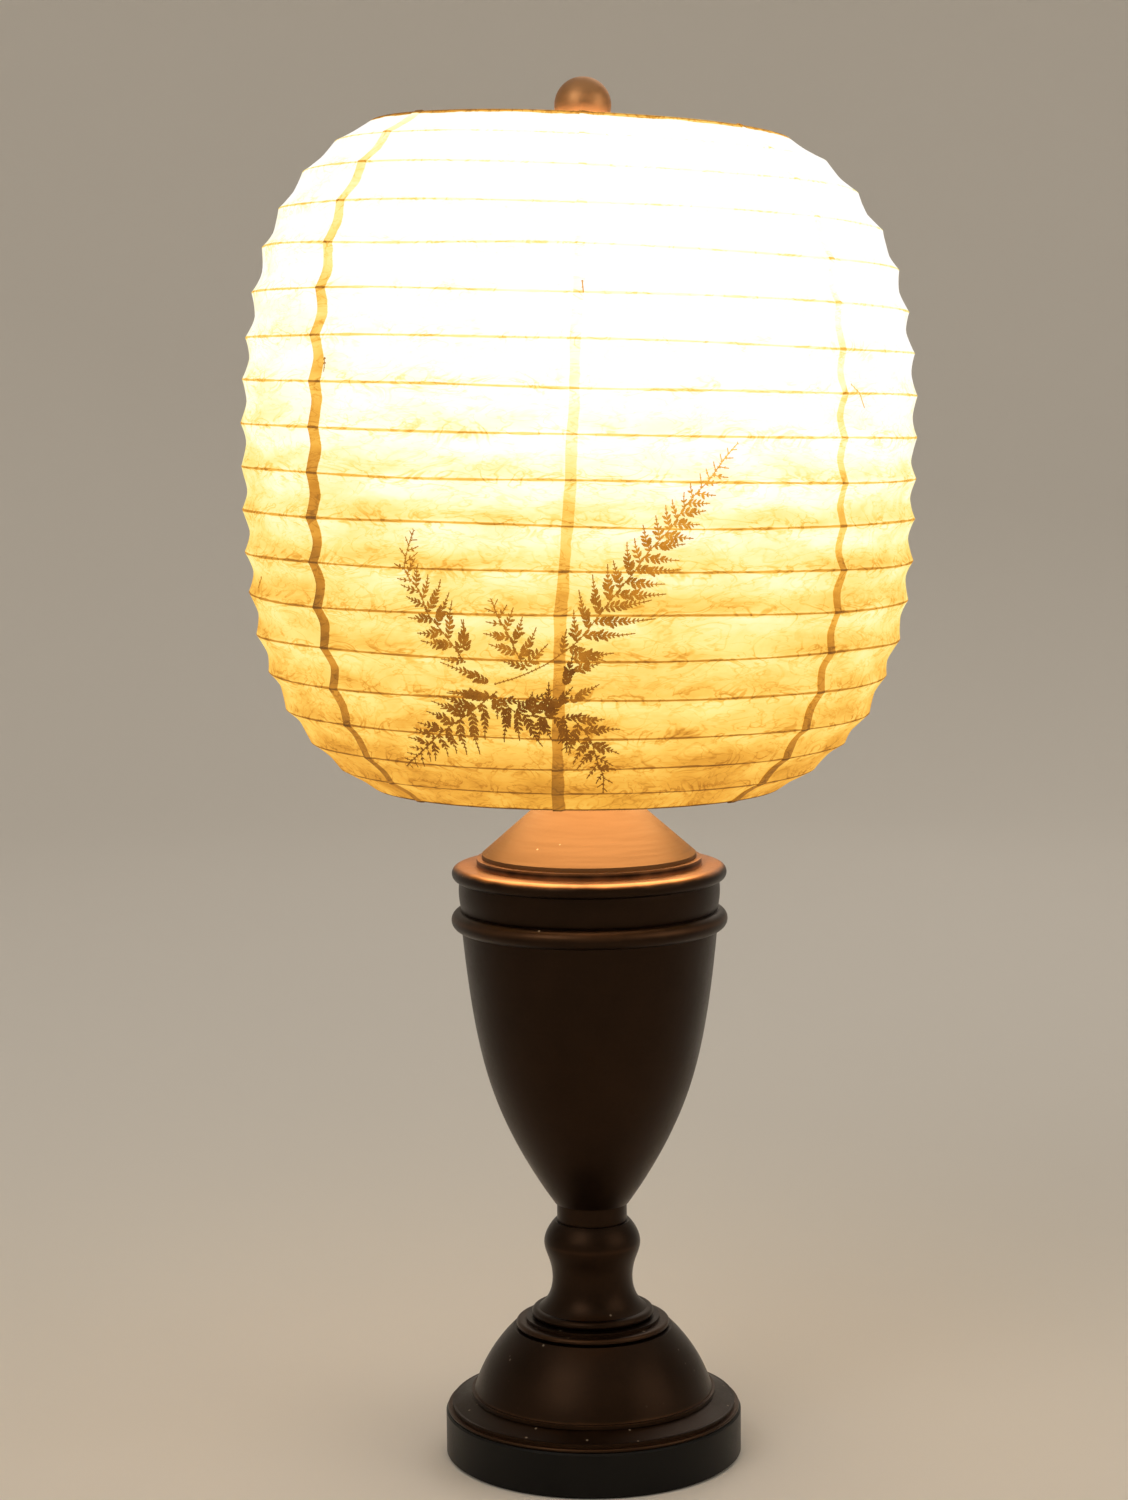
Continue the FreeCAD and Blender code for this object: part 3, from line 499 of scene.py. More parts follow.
def glow_colour(tree, level):
    stops = [(place / GLOW_FULL, colour) for place, colour in GLOW_STOPS]
    return ramp(tree, maths(tree, "DIVIDE", level, GLOW_FULL, clamp=True), stops)


def attribute(tree, name):
    return add(tree, "ShaderNodeAttribute", attribute_name=name).outputs["Fac"]


def product(tree, first, *others):
    for other in others:
        first = maths(tree, "MULTIPLY", first, other)
    return first


def stray_edge(tree, flat, reach, scale, detail, roughness=0.5):
    """A value that wavers round nought, for edges that aren't quite straight."""
    uneven = add(tree, "ShaderNodeTexNoise",
                 {"Vector": flat, "Scale": scale, "Detail": detail, "Roughness": roughness})
    return maths(tree, "MULTIPLY", maths(tree, "SUBTRACT", uneven.outputs["Fac"], 0.5), reach)


def from_wire(tree):
    """How far a place is from the nearest rib, as a share of the space between two ribs."""
    station = attribute(tree, "station")
    return maths(tree, "ABSOLUTE", maths(tree, "SUBTRACT", station, maths(tree, "ROUND", station)))


def paper_finish(settings):
    """Handmade paper lit from inside. The mesh carries how much light reaches each place."""
    material, tree, shader = new_material("fern_paper")
    flat = add(tree, "ShaderNodeUVMap", uv_map="flat").outputs["UV"]
    paper = placed(tree, fibre_group(), {"Vector": flat, "Clouds": 60.0, "Fibres": 150.0})
    cloud, fibre, crease = (paper.outputs[name] for name in ("Cloud", "Fibre", "Crease"))
    crease_shade = maths(tree, "MULTIPLY", crease, crease_shade_depth(tree))
    # Painted shade: the creases darken the glow in the folds.
    level = product(
        tree, attribute(tree, "glow"), band(tree, cloud, 0.28, 0.74, 1.20, 0.74),
        maths(tree, "SUBTRACT", 1.0, maths(tree, "MULTIPLY", fibre, 0.18)),
        maths(tree, "SUBTRACT", 1.0, crease_shade), wire_shadow(tree, flat), lap_shadow(tree, flat),
        hem_shadow(tree, flat))
    tint = mixed(tree, maths(tree, "MULTIPLY", fibre, 0.5), settings.tint, scaled(settings.tint, 0.6))
    fill(tree, shader, {
        "Emission Color": glow_colour(tree, level), "Emission Strength": 1.0,
        "Base Color": mixed(tree, band(tree, cloud, 0.3, 0.8), tint, scaled(settings.tint, 0.8)),
        "Roughness": band(tree, cloud, 0.2, 0.8, 0.75, 0.95), "Specular IOR Level": PAPER_SHINE})
    bumped(tree, shader, paper.outputs["Height"], 0.35, 0.0008)
    return material


def crease_shade_depth(tree):
    """How deep the creases are, as painted shade that they put on the paper's glow: deepest beside the ribs,
    where the paper is gathered.
    """
    return band(tree, from_wire(tree), 0.34, 0.05, 0.14, 0.36)


def wire_shadow(tree, flat):
    """The painted shadow that each rib and its glue cast on the lit paper, as a thin line."""
    uneven = add(tree, "ShaderNodeTexNoise", {"Vector": flat, "Scale": 70.0, "Detail": 3.0})
    width = band(tree, uneven.outputs["Fac"], 0.3, 0.7, 0.022, 0.046)
    line = band(tree, maths(tree, "DIVIDE", from_wire(tree), width), 0.45, 1.15)
    return maths(tree, "ADD", maths(tree, "MULTIPLY", line, 0.60), 0.40)


def lap_shadow(tree, flat):
    """The strip where two sheets lap over each other, with a torn edge."""
    stray = stray_edge(tree, flat, 0.0022, 130.0, 4.0, 0.6)
    dims = []
    for name in ("lap_left", "lap_right"):
        inside = band(tree, maths(tree, "ADD", attribute(tree, name), stray), -0.00025, 0.00025)
        lost = maths(tree, "SUBTRACT", attribute(tree, name + "_light"), 1.0)
        dims.append(maths(tree, "ADD", 1.0, maths(tree, "MULTIPLY", inside, lost)))
    return product(tree, *dims)


def hem_shadow(tree, flat):
    """The paper turned over the two rims lets less light through."""
    station = maths(tree, "ADD", attribute(tree, "station"), stray_edge(tree, flat, 0.12, 45.0, 3.0))
    top = band(tree, station, 0.09, 0.15, 0.09, 1.0)
    bottom = band(tree, station, LAST - 0.02, LAST - 0.08, 0.2, 1.0)
    return maths(tree, "MULTIPLY", top, bottom)


def fern_finish(settings):
    """Dried fern between the sheets: brown, darker where leaves lie on each other."""
    material, tree, shader = new_material("pressed_fern")
    cloud = placed(tree, mottle_group(), {
        "Vector": object_coordinates(tree), "Scale": 160.0, "Fine Scale": 1500.0, "Contrast": 1.0})
    tone = cloud.outputs["Tone"]
    level = product(tree, attribute(tree, "glow"), attribute(tree, "tone"),
                    band(tree, tone, 0.25, 0.75, 0.72, 1.3))
    fill(tree, shader, {
        "Emission Color": glow_colour(tree, level), "Emission Strength": 1.0,
        "Base Color": mixed(tree, tone, scaled(settings.tint, 0.6), scaled(settings.tint, 1.5)),
        "Roughness": band(tree, tone, 0.2, 0.8, 0.7, 0.9), "Specular IOR Level": PAPER_SHINE})
    bumped(tree, shader, cloud.outputs["Height"], 0.2, 0.0002)
    return material


def bamboo_finish(settings):
    """Split bamboo with lengthwise grain."""
    material, tree, shader = new_material("split_bamboo")
    lines = placed(tree, turned_group(),
                   {"Vector": object_coordinates(tree), "Lines": 5200.0, "Breaks": 14.0})
    tone = lines.outputs["Tone"]
    fill(tree, shader, {
        "Base Color": mixed(tree, tone, scaled(settings.tint, 0.5), scaled(settings.tint, 1.5)),
        "Roughness": band(tree, tone, 0.2, 0.8, 0.5, 0.75)})
    bumped(tree, shader, lines.outputs["Height"], 0.25, 0.0002)
    return material


def glass_finish():
    """Frosted bulb glass, lit, brightest round the filament."""
    material, tree, shader = new_material("frosted_glass")
    place = object_coordinates(tree)
    cloud = placed(tree, mottle_group(),
                   {"Vector": place, "Scale": 90.0, "Fine Scale": 2500.0, "Contrast": 0.5})
    tone = cloud.outputs["Tone"]
    lo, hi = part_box("bulb_glass")
    z = add(tree, "ShaderNodeSeparateXYZ", {0: place}).outputs["Z"]
    share = band(tree, z, lo.z, (lo.z + hi.z) / 2, 0.0, 1.0)
    fill(tree, shader, {
        "Base Color": mixed(tree, tone, (0.92, 0.88, 0.80), (0.98, 0.95, 0.90)),
        "Emission Color": mixed(tree, share, (0.85, 0.42, 0.12), (1.0, 0.90, 0.66)),
        "Emission Strength": 3.0,
        "Roughness": band(tree, tone, 0.2, 0.8, 0.4, 0.55)})
    bumped(tree, shader, cloud.outputs["Height"], 0.08, 0.0001)
    return material


# ---- the shade's shape ----
RING_SWELL = 0.0009          # how far a ring strays in and out of round
CRINKLE = 0.00035            # height of the paper's small crinkles
FOLD_SHARPNESS = 1.45        # 1 draws the paper in to a sharp fold, 2 to a round one


def held(value, low=0.0, high=1.0):
    return min(max(value, low), high)


def chance_at(x, y, z=0.0):
    """Smooth chance between -1 and 1 that is the same each run."""
    return noise.noise(Vector((x, y, z)))


def chance_round(turn, detail, along):
    """The same, closed round the shade. More detail makes it change faster with the angle."""
    return chance_at(math.cos(turn) * detail, math.sin(turn) * detail, along)


class Shade:
    """The hanging shape of the lantern: where its rings are and how the paper lies on them."""

    def __init__(self, scene):
        self.paper = scene.lantern_paper
        self.wobble = scene.lantern_ribs.wobble
        self.names = ["shade_top_ring"] + ["rib_%02d" % n for n in range(1, LAST)] + ["shade_bottom_ring"]
        self.wires, self.radii, self.heights, self.normals = [], [], [], []
        for name in self.names:
            lo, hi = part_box(name)
            wire = (hi.z - lo.z) / 2
            self.wires.append(wire)
            self.radii.append((hi.x - wire) * (1 + self.paper.fullness))
            self.heights.append((lo.z + hi.z) / 2)
        self.top_z, self.bottom_z = self.heights[0], self.heights[-1]
        self.still_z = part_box("paper_gore_1")[1].z
        for index in range(LAST + 1):
            above, below = max(index - 1, 0), min(index + 1, LAST)
            run = Vector((self.radii[below] - self.radii[above],
                          self.heights[below] - self.heights[above])).normalized()
            self.normals.append(Vector((-run.y, run.x)))

    def tilt(self, share):
        """The slope of a ring at a share of the way down."""
        paper = self.paper
        if share < 0.5:
            angle = paper.top_tilt + (paper.middle_tilt - paper.top_tilt) * share * 2
        else:
            angle = paper.middle_tilt + (paper.bottom_tilt - paper.middle_tilt) * (share - 0.5) * 2
        return math.tan(angle)

    def ring_point(self, index, turn, outwards=0.0, upwards=0.0):
        """A point of ring number index at an angle, moved out from and up over the wire's middle."""
        share = (self.top_z - self.heights[index]) / (self.top_z - self.bottom_z)
        stray = chance_round(turn, 1.4, index * 3.7)
        swell = chance_round(turn, 1.1, index * 2.3 + 50)
        free = min(1.0, 6 * share * (1 - share) + 0.25)
        radius = self.radii[index] + outwards + RING_SWELL * swell * free
        x, y = radius * math.cos(turn), radius * math.sin(turn)
        height = self.heights[index] + upwards + self.wobble * 2 * stray * free - x * self.tilt(share)
        return Vector((x - self.paper.swing * share - self.paper.offset, y, height))

    def hoop(self, index, steps):
        """The middle of a ring's wire, all the way round."""
        return [self.ring_point(index, 2 * math.pi * step / steps) for step in range(steps)]

    def crest(self, index, turn):
        """The paper's outside where it goes over a wire."""
        off = self.wires[index] + PAPER_OVER_WIRE
        normal = self.normals[index]
        return self.ring_point(index, turn, normal.x * off, normal.y * off)

    def depth(self, band_index, turn):
        """How far the paper draws in at the middle of a band: least beside the two rims."""
        place = held((band_index + 0.5) / LAST * 1.06 - 0.02)
        full = self.paper.sag * (0.22 + 0.78 * math.sin(math.pi * place) ** 0.8)
        return full * (1.0 + 0.45 * chance_round(turn, 3.0, band_index * 5.1 + 9))

    def surface(self, station, turn, lift=0.0):
        """The paper's outside at a station (0 is the top ring, 1 the first rib) and an angle."""
        index = min(max(int(math.floor(station)), 0), RIB_COUNT)
        share = station - index
        upper, lower = self.crest(index, turn), self.crest(index + 1, turn)
        shift = 0.12 * chance_round(turn, 4.0, index * 1.9 + 31)
        bent = share + shift * math.sin(math.pi * share)
        drawn = self.depth(index, turn) * (1.0 - abs(2 * bent - 1) ** FOLD_SHARPNESS)
        out = Vector((math.cos(turn), math.sin(turn)))
        run = lower - upper
        flat_run = Vector((run.x * out.x + run.y * out.y, run.z)).normalized()
        normal = Vector((-flat_run.y * out.x, -flat_run.y * out.y, flat_run.x))
        crinkle = CRINKLE * chance_round(turn, 22, station * 2.2) * math.sin(math.pi * share)
        return upper.lerp(lower, share) + normal * (lift + crinkle - drawn), normal


class PaperMap:
    """Looks up the paper's outside by angle and height, over a part of the shade."""

    def __init__(self, shade, turns, columns, stations, rows):
        self.from_turn, self.step, self.columns = turns[0], (turns[1] - turns[0]) / columns, columns
        self.lines = []
        for column in range(columns + 1):
            turn = self.from_turn + self.step * column
            line = [shade.surface(stations[0] + (stations[1] - stations[0]) * row / rows, turn)
                    for row in range(rows + 1)]
            self.lines.append((line, [-point.z for point, _ in line]))

    def find(self, column, height):
        line, falls = self.lines[column]
        row = min(max(bisect.bisect_left(falls, -height), 1), len(falls) - 1)
        share = held((-height - falls[row - 1]) / max(falls[row] - falls[row - 1], 1e-9))
        (upper, out), (lower, out_below) = line[row - 1], line[row]
        return upper.lerp(lower, share), out.lerp(out_below, share)

    def at(self, turn, height):
        """The point of the paper at an angle and a height, and the way out of it."""
        place = held((turn - self.from_turn) / self.step, 0.0, self.columns - TINY)
        column = int(place)
        (point, out), (point_next, out_next) = self.find(column, height), self.find(column + 1, height)
        return point.lerp(point_next, place - column), out.lerp(out_next, place - column).normalized()


# ---- light on the paper ----
BULB_LEAN = Vector((0.010, -0.024, 0.012))   # the brightest place, from the bulb's centre
GLOW_GAIN = 1.30
GLOW_POWER = 1.42
GLOW_AT = 21.0               # direct light at which the glow is the gain itself
GLOW_BOUNCED = 3.0           # light that comes by way of the rest of the shade
GLOW_EVEN = 0.55             # how far the paper's own scatter evens out its folds
BELLY_Z, BELLY_REACH = 0.46, 0.15            # middle of the shade, and from there to a rim
WAIST_Z, WAIST_REACH, WAIST_GAIN = 0.378, 0.026, 0.17    # a brighter band below the middle
FOOT_Z, FOOT_REACH, FOOT_LOSS = 0.350, 0.022, 0.22       # the paper dims towards the bottom rim


def bulb_centre():
    lo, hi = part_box("bulb_glass")
    return Vector((0, 0, hi.z - (hi.x - lo.x) / 2)) + BULB_LEAN


def light_level(point, inward, bulb):
    """Light that reaches a place on the paper's inside from the bulb."""
    way = bulb - point
    flat = -point.xy.to_3d().normalized()
    up = held((point.z - BELLY_Z) / BELLY_REACH, -1.0, 1.0)
    smooth = Vector((flat.x, flat.y, -0.9 * up ** 3)).normalized()
    inward = inward.lerp(smooth, GLOW_EVEN).normalized()
    distance = way.length
    direct = max(inward.dot(way / distance), 0.0) / distance ** 2
    level = GLOW_GAIN * ((direct + GLOW_BOUNCED) / (GLOW_AT + GLOW_BOUNCED)) ** GLOW_POWER
    waist = math.exp(-((point.z - WAIST_Z) / WAIST_REACH) ** 2)
    foot = held((FOOT_Z - point.z) / FOOT_REACH)
    return level * (1.0 + WAIST_GAIN * waist - FOOT_LOSS * foot)


# ---- meshes ----
def write_floats(mesh, name, values):
    mesh.attributes.new(name, "FLOAT", "POINT").data.foreach_set("value", values)


def mesh_of(name, points, faces=(), edges=()):
    mesh = bpy.data.meshes.new(name)
    mesh.from_pydata(points, edges, faces)
    return mesh


def finished(name, mesh, material, body, slot, *nodes):
    """Puts a finished mesh in the scene, on its body, with its finish."""
    mesh.materials.clear()
    mesh.materials.append(material)
    piece = bpy.data.objects.new(name, mesh)
    bpy.context.scene.collection.objects.link(piece)
    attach(piece, body)
    if nodes:
        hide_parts(*nodes)
    return piece


def folds(piece):
    """Gives a piece of the shade its own copy of its mesh."""
    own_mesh(piece)


def closed_sheet(points, columns, thickness):
    """Faces and points of a sheet of given outside points, with an inside and closed edges."""
    rows = len(points) // columns
    inner, faces = [], []

    def grid(row, column):
        return row * columns + column

    for row in range(rows):
        for column in range(columns):
            across, down = spans(points, rows, columns, row, column)
            inner.append(points[grid(row, column)] + across.cross(-down).normalized() * -thickness)
    count = len(points)
    for row in range(rows - 1):
        for column in range(columns - 1):
            a, b = grid(row, column), grid(row, column + 1)
            c, d = grid(row + 1, column + 1), grid(row + 1, column)
            faces.append((a, d, c, b))
            faces.append((count + a, count + b, count + c, count + d))
    border = [grid(0, c) for c in range(columns)] + [grid(r, columns - 1) for r in range(1, rows)]
    border += [grid(rows - 1, c) for c in range(columns - 2, -1, -1)]
    border += [grid(r, 0) for r in range(rows - 2, 0, -1)]
    for first, second in zip(border, border[1:] + border[:1]):
        faces.append((first, second, count + second, count + first))
    return points + inner, faces


def spans(points, rows, columns, row, column):
    """From neighbour to neighbour past a point of a grid, across it and down it."""
    left, right = max(column - 1, 0), min(column + 1, columns - 1)
    above, below = max(row - 1, 0), min(row + 1, rows - 1)
    return (points[row * columns + right] - points[row * columns + left],
            points[below * columns + column] - points[above * columns + column])


# ---- paper ----
LAP_OVER, LAP_UNDER = 0.00045, 0.00010       # how far a sheet rises over a lap and sinks under one
HEM_STEPS = 5
HEM_TURN = math.radians(150)                 # how far the hem goes round a rim's wire


def seam_turn(seam, station):
    """Angle of a seam's middle at a station: it wanders, with a kink at each rib."""
    rib = math.floor(station)
    share = station - rib
    at_rib = chance_at(rib * 1.7, seam.seed)
    next_rib = chance_at(math.floor(station + 1) * 1.7, seam.seed)
    kinked = at_rib + (next_rib - at_rib) * share
    bowed = chance_at(rib * 2.9, seam.seed, 7.0) * math.sin(math.pi * share)
    slow = chance_at(station * 0.22, seam.seed, 3.0)
    stray = seam.wander / 1000 * (1.1 * kinked + 1.1 * bowed + 1.2 * slow)
    down = 2 * station / LAST - 1
    drift = seam.drift[0] * -down if down < 0 else seam.drift[1] * down
    return math.radians(seam.direction + drift) + stray / FLAT_RADIUS


def along_seam(values, station):
    """A seam's value at a station, from its values at the top, the middle and the bottom."""
    place = held(2 * station / LAST, 0.0, 2.0)
    first = min(int(place), 1)
    return values[first] + (values[first + 1] - values[first]) * (place - first)


def seam_width(seam, station):
    uneven = 1.0 + 0.25 * chance_at(station * 0.8, seam.seed, 12.0)
    return along_seam(seam.width, station) / 1000 * uneven


class LANTERN_OT_paper_gores(bpy.types.Operator):
    """Makes the eight lapped sheets of paper, drawn in between the ribs"""
    bl_idname = "lantern.paper_gores"
    bl_label = "Paper Gores"

    def execute(self, context):
        paper = context.scene.lantern_paper
        shade = Shade(context.scene)
        material = paper_finish(paper)
        for number in range(GORE_COUNT):
            node = "paper_gore_%d" % (number + 1)
            left, right = SEAMS[(number + 1) % GORE_COUNT], SEAMS[(number + 2) % GORE_COUNT]
            mesh = self.gore(shade, paper, node, left, right)
            folds(finished("lantern_" + node, mesh, material, "shade", "fern_paper", node))
        return {"FINISHED"}

    def gore(self, shade, paper, node, left, right):
        """One sheet: its left edge lies over the sheet before it, its right edge under the next."""
        points, marks, flats = [], [], []
        laps = {"lap_left": [], "lap_right": []}
        for station in self.stations(paper.rows):
            on = held(station, 0.0, LAST - TINY)
            from_turn, to_turn = seam_turn(left, on), seam_turn(right, on)
            if to_turn < from_turn:
                to_turn += 2 * math.pi
            radius = math.hypot(*shade.surface(on, from_turn)[0][:2])
            left_lap, right_lap = seam_width(left, on), seam_width(right, on)
            start = from_turn - left_lap / 2 / radius
            end = to_turn + right_lap / 2 / radius
            for column in range(paper.columns):
                turn = start + (end - start) * (column / (paper.columns - 1))
                from_left, from_right = (turn - start) * radius, (end - turn) * radius
                over = LAP_OVER * self.eased(1.0 - from_left / left_lap)
                under = -LAP_UNDER * self.eased(1.0 - from_right / right_lap)
                points.append(self.place(shade, station, turn, over + under))
                marks.append(station)
                flats.append((turn * FLAT_RADIUS, points[-1].z))
                laps["lap_left"].append(left_lap - from_left)
                laps["lap_right"].append(right_lap - from_right)
        both, faces = closed_sheet(points, paper.columns, paper.thickness)
        mesh = mesh_of(node, both, faces)
        write_floats(mesh, "glow", self.levels(points, paper.columns) * 2)
        write_floats(mesh, "station", marks * 2)
        for name, values in laps.items():
            write_floats(mesh, name, values * 2)
        for name, seam in (("lap_left_light", left), ("lap_right_light", right)):
            write_floats(mesh, name, [along_seam(seam.light, mark) for mark in marks] * 2)
        layer = mesh.uv_layers.new(name="flat")
        for loop in mesh.loops:
            layer.data[loop.index].uv = flats[loop.vertex_index % len(flats)]
        mesh.shade_smooth()
        mesh.validate()
        return mesh

    @staticmethod
    def stations(rows):
        """Stations down the sheet, with the top hem before nought and the bottom one past the last."""
        top = [-(HEM_STEPS - step) / HEM_STEPS for step in range(HEM_STEPS)]
        bottom = [LAST + (step + 1) / HEM_STEPS for step in range(HEM_STEPS)]
        return top + [step / rows for step in range(LAST * rows + 1)] + bottom

    @staticmethod
    def levels(points, columns):
        bulb = bulb_centre()
        rows = len(points) // columns
        levels = []
        for index, point in enumerate(points):
            across, down = spans(points, rows, columns, index // columns, index % columns)
            inward = down.cross(across).normalized()
            inward = -inward if inward.dot(point.xy.to_3d()) > 0 else inward
            levels.append(light_level(point, inward, bulb))
        return levels

    @staticmethod
    def eased(share):
        share = held(share * 3.0)
        return share * share * (3 - 2 * share)

    @staticmethod
    def place(shade, station, turn, lift):
        """A point of the sheet, or of the hem that goes round a rim's wire."""
        if 0.0 <= station <= LAST:
            return shade.surface(min(station, LAST - TINY), turn, lift)[0]
        index, over, side = (0, -station, 1) if station < 0 else (LAST, station - LAST, -1)
        normal = shade.normals[index]
        angle = math.atan2(normal.y, normal.x) + side * over * HEM_TURN
        off = shade.wires[index] + PAPER_OVER_WIRE + lift
        return shade.ring_point(index, turn, math.cos(angle) * off, math.sin(angle) * off)


# ---- wires and ribs ----
def painted(tree, given, result, geometry):
    """Ends a geometry tree: real pieces, with the material that was given."""
    whole = add(tree, "GeometryNodeRealizeInstances", {"Geometry": geometry})
    finish = add(tree, "GeometryNodeSetMaterial",
                 {"Geometry": whole.outputs[0], "Material": given.outputs["Material"]})
    tree.links.new(finish.outputs[0], result.inputs[0])
    return tree


def wire_tree():
    """Geometry nodes that give a path of edges a round, slightly uneven wire."""
    tree, given, result = group(
        "Wire Along Path",
        [("Geometry", GEOMETRY, None), ("Wire Radius", FLOAT, 0.001), ("Unevenness", FLOAT, 0.0),
         ("Grain", FLOAT, 40.0), ("Sides", WHOLE, 8), ("Seed", WHOLE, 1), ("Material", MATERIAL, None)],
        [("Geometry", GEOMETRY)], "GeometryNodeTree")
    curve = add(tree, "GeometryNodeMeshToCurve", {"Mesh": given.outputs["Geometry"]})
    place = add(tree, "GeometryNodeInputPosition")
    uneven = add(tree, "ShaderNodeTexNoise", {
        "Vector": place.outputs[0], "W": given.outputs["Seed"], "Scale": given.outputs["Grain"],
        "Detail": 2.0},
        noise_dimensions="4D")
    swing = maths(tree, "MULTIPLY", maths(tree, "SUBTRACT", uneven.outputs["Fac"], 0.5),
                  maths(tree, "MULTIPLY", given.outputs["Unevenness"], 2.0))
    share = maths(tree, "ADD", swing, 1.0)
    sized = add(tree, "GeometryNodeSetCurveRadius", {"Curve": curve.outputs[0], "Radius": share})
    ring = add(tree, "GeometryNodeCurvePrimitiveCircle",
               {"Resolution": given.outputs["Sides"], "Radius": given.outputs["Wire Radius"]})
    inputs = {"Curve": sized.outputs[0], "Profile Curve": ring.outputs[0], "Fill Caps": True}
    swept = add(tree, "GeometryNodeCurveToMesh", inputs)
    if "Scale" in swept.inputs:
        tree.links.new(share, swept.inputs["Scale"])
    smooth = add(tree, "GeometryNodeSetShadeSmooth", {"Geometry": swept.outputs[0]})
    return painted(tree, given, result, smooth.outputs[0])


def through_nodes(mesh, tree, values):
    """Runs a geometry node tree over a mesh with named inputs, and gives the plain mesh that comes out."""
    holder = bpy.data.objects.new("holder", mesh)
    bpy.context.scene.collection.objects.link(holder)
    modifier = holder.modifiers.new("nodes", "NODES")
    modifier.node_group = tree
    sockets = {item.name: item.identifier for item in tree.interface.items_tree
               if item.item_type == "SOCKET" and item.in_out == "INPUT"}
    for name, value in values.items():
        modifier[sockets[name]] = value
    bpy.context.view_layer.update()
    evaluated = holder.evaluated_get(bpy.context.evaluated_depsgraph_get())
    result = bpy.data.meshes.new_from_object(evaluated)
    holder.modifiers.remove(modifier)
    bpy.data.objects.remove(holder)
    return result


def path_mesh(paths, closed):
    """Edges through lists of points, each list closed or open."""
    points, edges = [], []
    for path in paths:
        start = len(points)
        points += path
        edges += [(start + n, start + n + 1) for n in range(len(path) - 1)]
        if closed:
            edges.append((start + len(path) - 1, start))
    return mesh_of("path", points, edges=edges)


class LANTERN_OT_bamboo_ribs(bpy.types.Operator):
    """Makes each bamboo rib as a hand-bent hoop, on its own body"""
    bl_idname = "lantern.bamboo_ribs"
    bl_label = "Bamboo Ribs"

    def execute(self, context):
        ribs = context.scene.lantern_ribs
        shade = Shade(context.scene)
        material = bamboo_finish(ribs)
        tree = wire_tree()
        for index in range(1, LAST):
            node = shade.names[index]
            values = {"Wire Radius": shade.wires[index], "Unevenness": ribs.unevenness, "Grain": 60.0,
                      "Sides": 8, "Seed": index, "Material": material}
            mesh = through_nodes(path_mesh([shade.hoop(index, ribs.segments)], True), tree, values)
            piece = finished("bamboo_" + node, mesh, material, node, "split_bamboo", node)
            folds(piece)
        return {"FINISHED"}


def lathe(outline, steps):
    """A closed turned solid about Z from (radius, height) points, given counter-clockwise."""
    points, faces = [], []
    count = len(outline)
    for step in range(steps):
        turn = 2 * math.pi * step / steps
        points += [Vector((r * math.cos(turn), r * math.sin(turn), z)) for r, z in outline]
    for step in range(steps):
        here, there = step * count, (step + 1) % steps * count
        for n in range(count):
            after = (n + 1) % count
            faces.append((here + n, there + n, there + after, here + after))
    return mesh_of("lathe", points, faces)


def rounded_ring(inner_r, outer_r, low, high, edge):
    """Outline of a flat ring with rounded corners."""
    corners = [(outer_r - edge, low + edge, -90), (outer_r - edge, high - edge, 0),
               (inner_r + edge, high - edge, 90), (inner_r + edge, low + edge, 180)]
    outline = []
    for r, z, first in corners:
        for step in range(4):
            turn = math.radians(first + step * 30)
            outline.append((r + edge * math.cos(turn), z + edge * math.sin(turn)))
    return outline


def outward(mesh):
    """Turns a closed mesh's faces outward."""
    work = bmesh.new()
    work.from_mesh(mesh)
    bmesh.ops.recalc_face_normals(work, faces=work.faces)
    work.to_mesh(mesh)
    work.free()
    return mesh


RIM_SEGMENTS = 220
ARM_SEGMENTS = 12
BORE_R = 0.0034              # hole in the spider's hub, easy on the harp's stud
HUB_BRIM = 0.002             # how far the hub stands out past the stud's flange


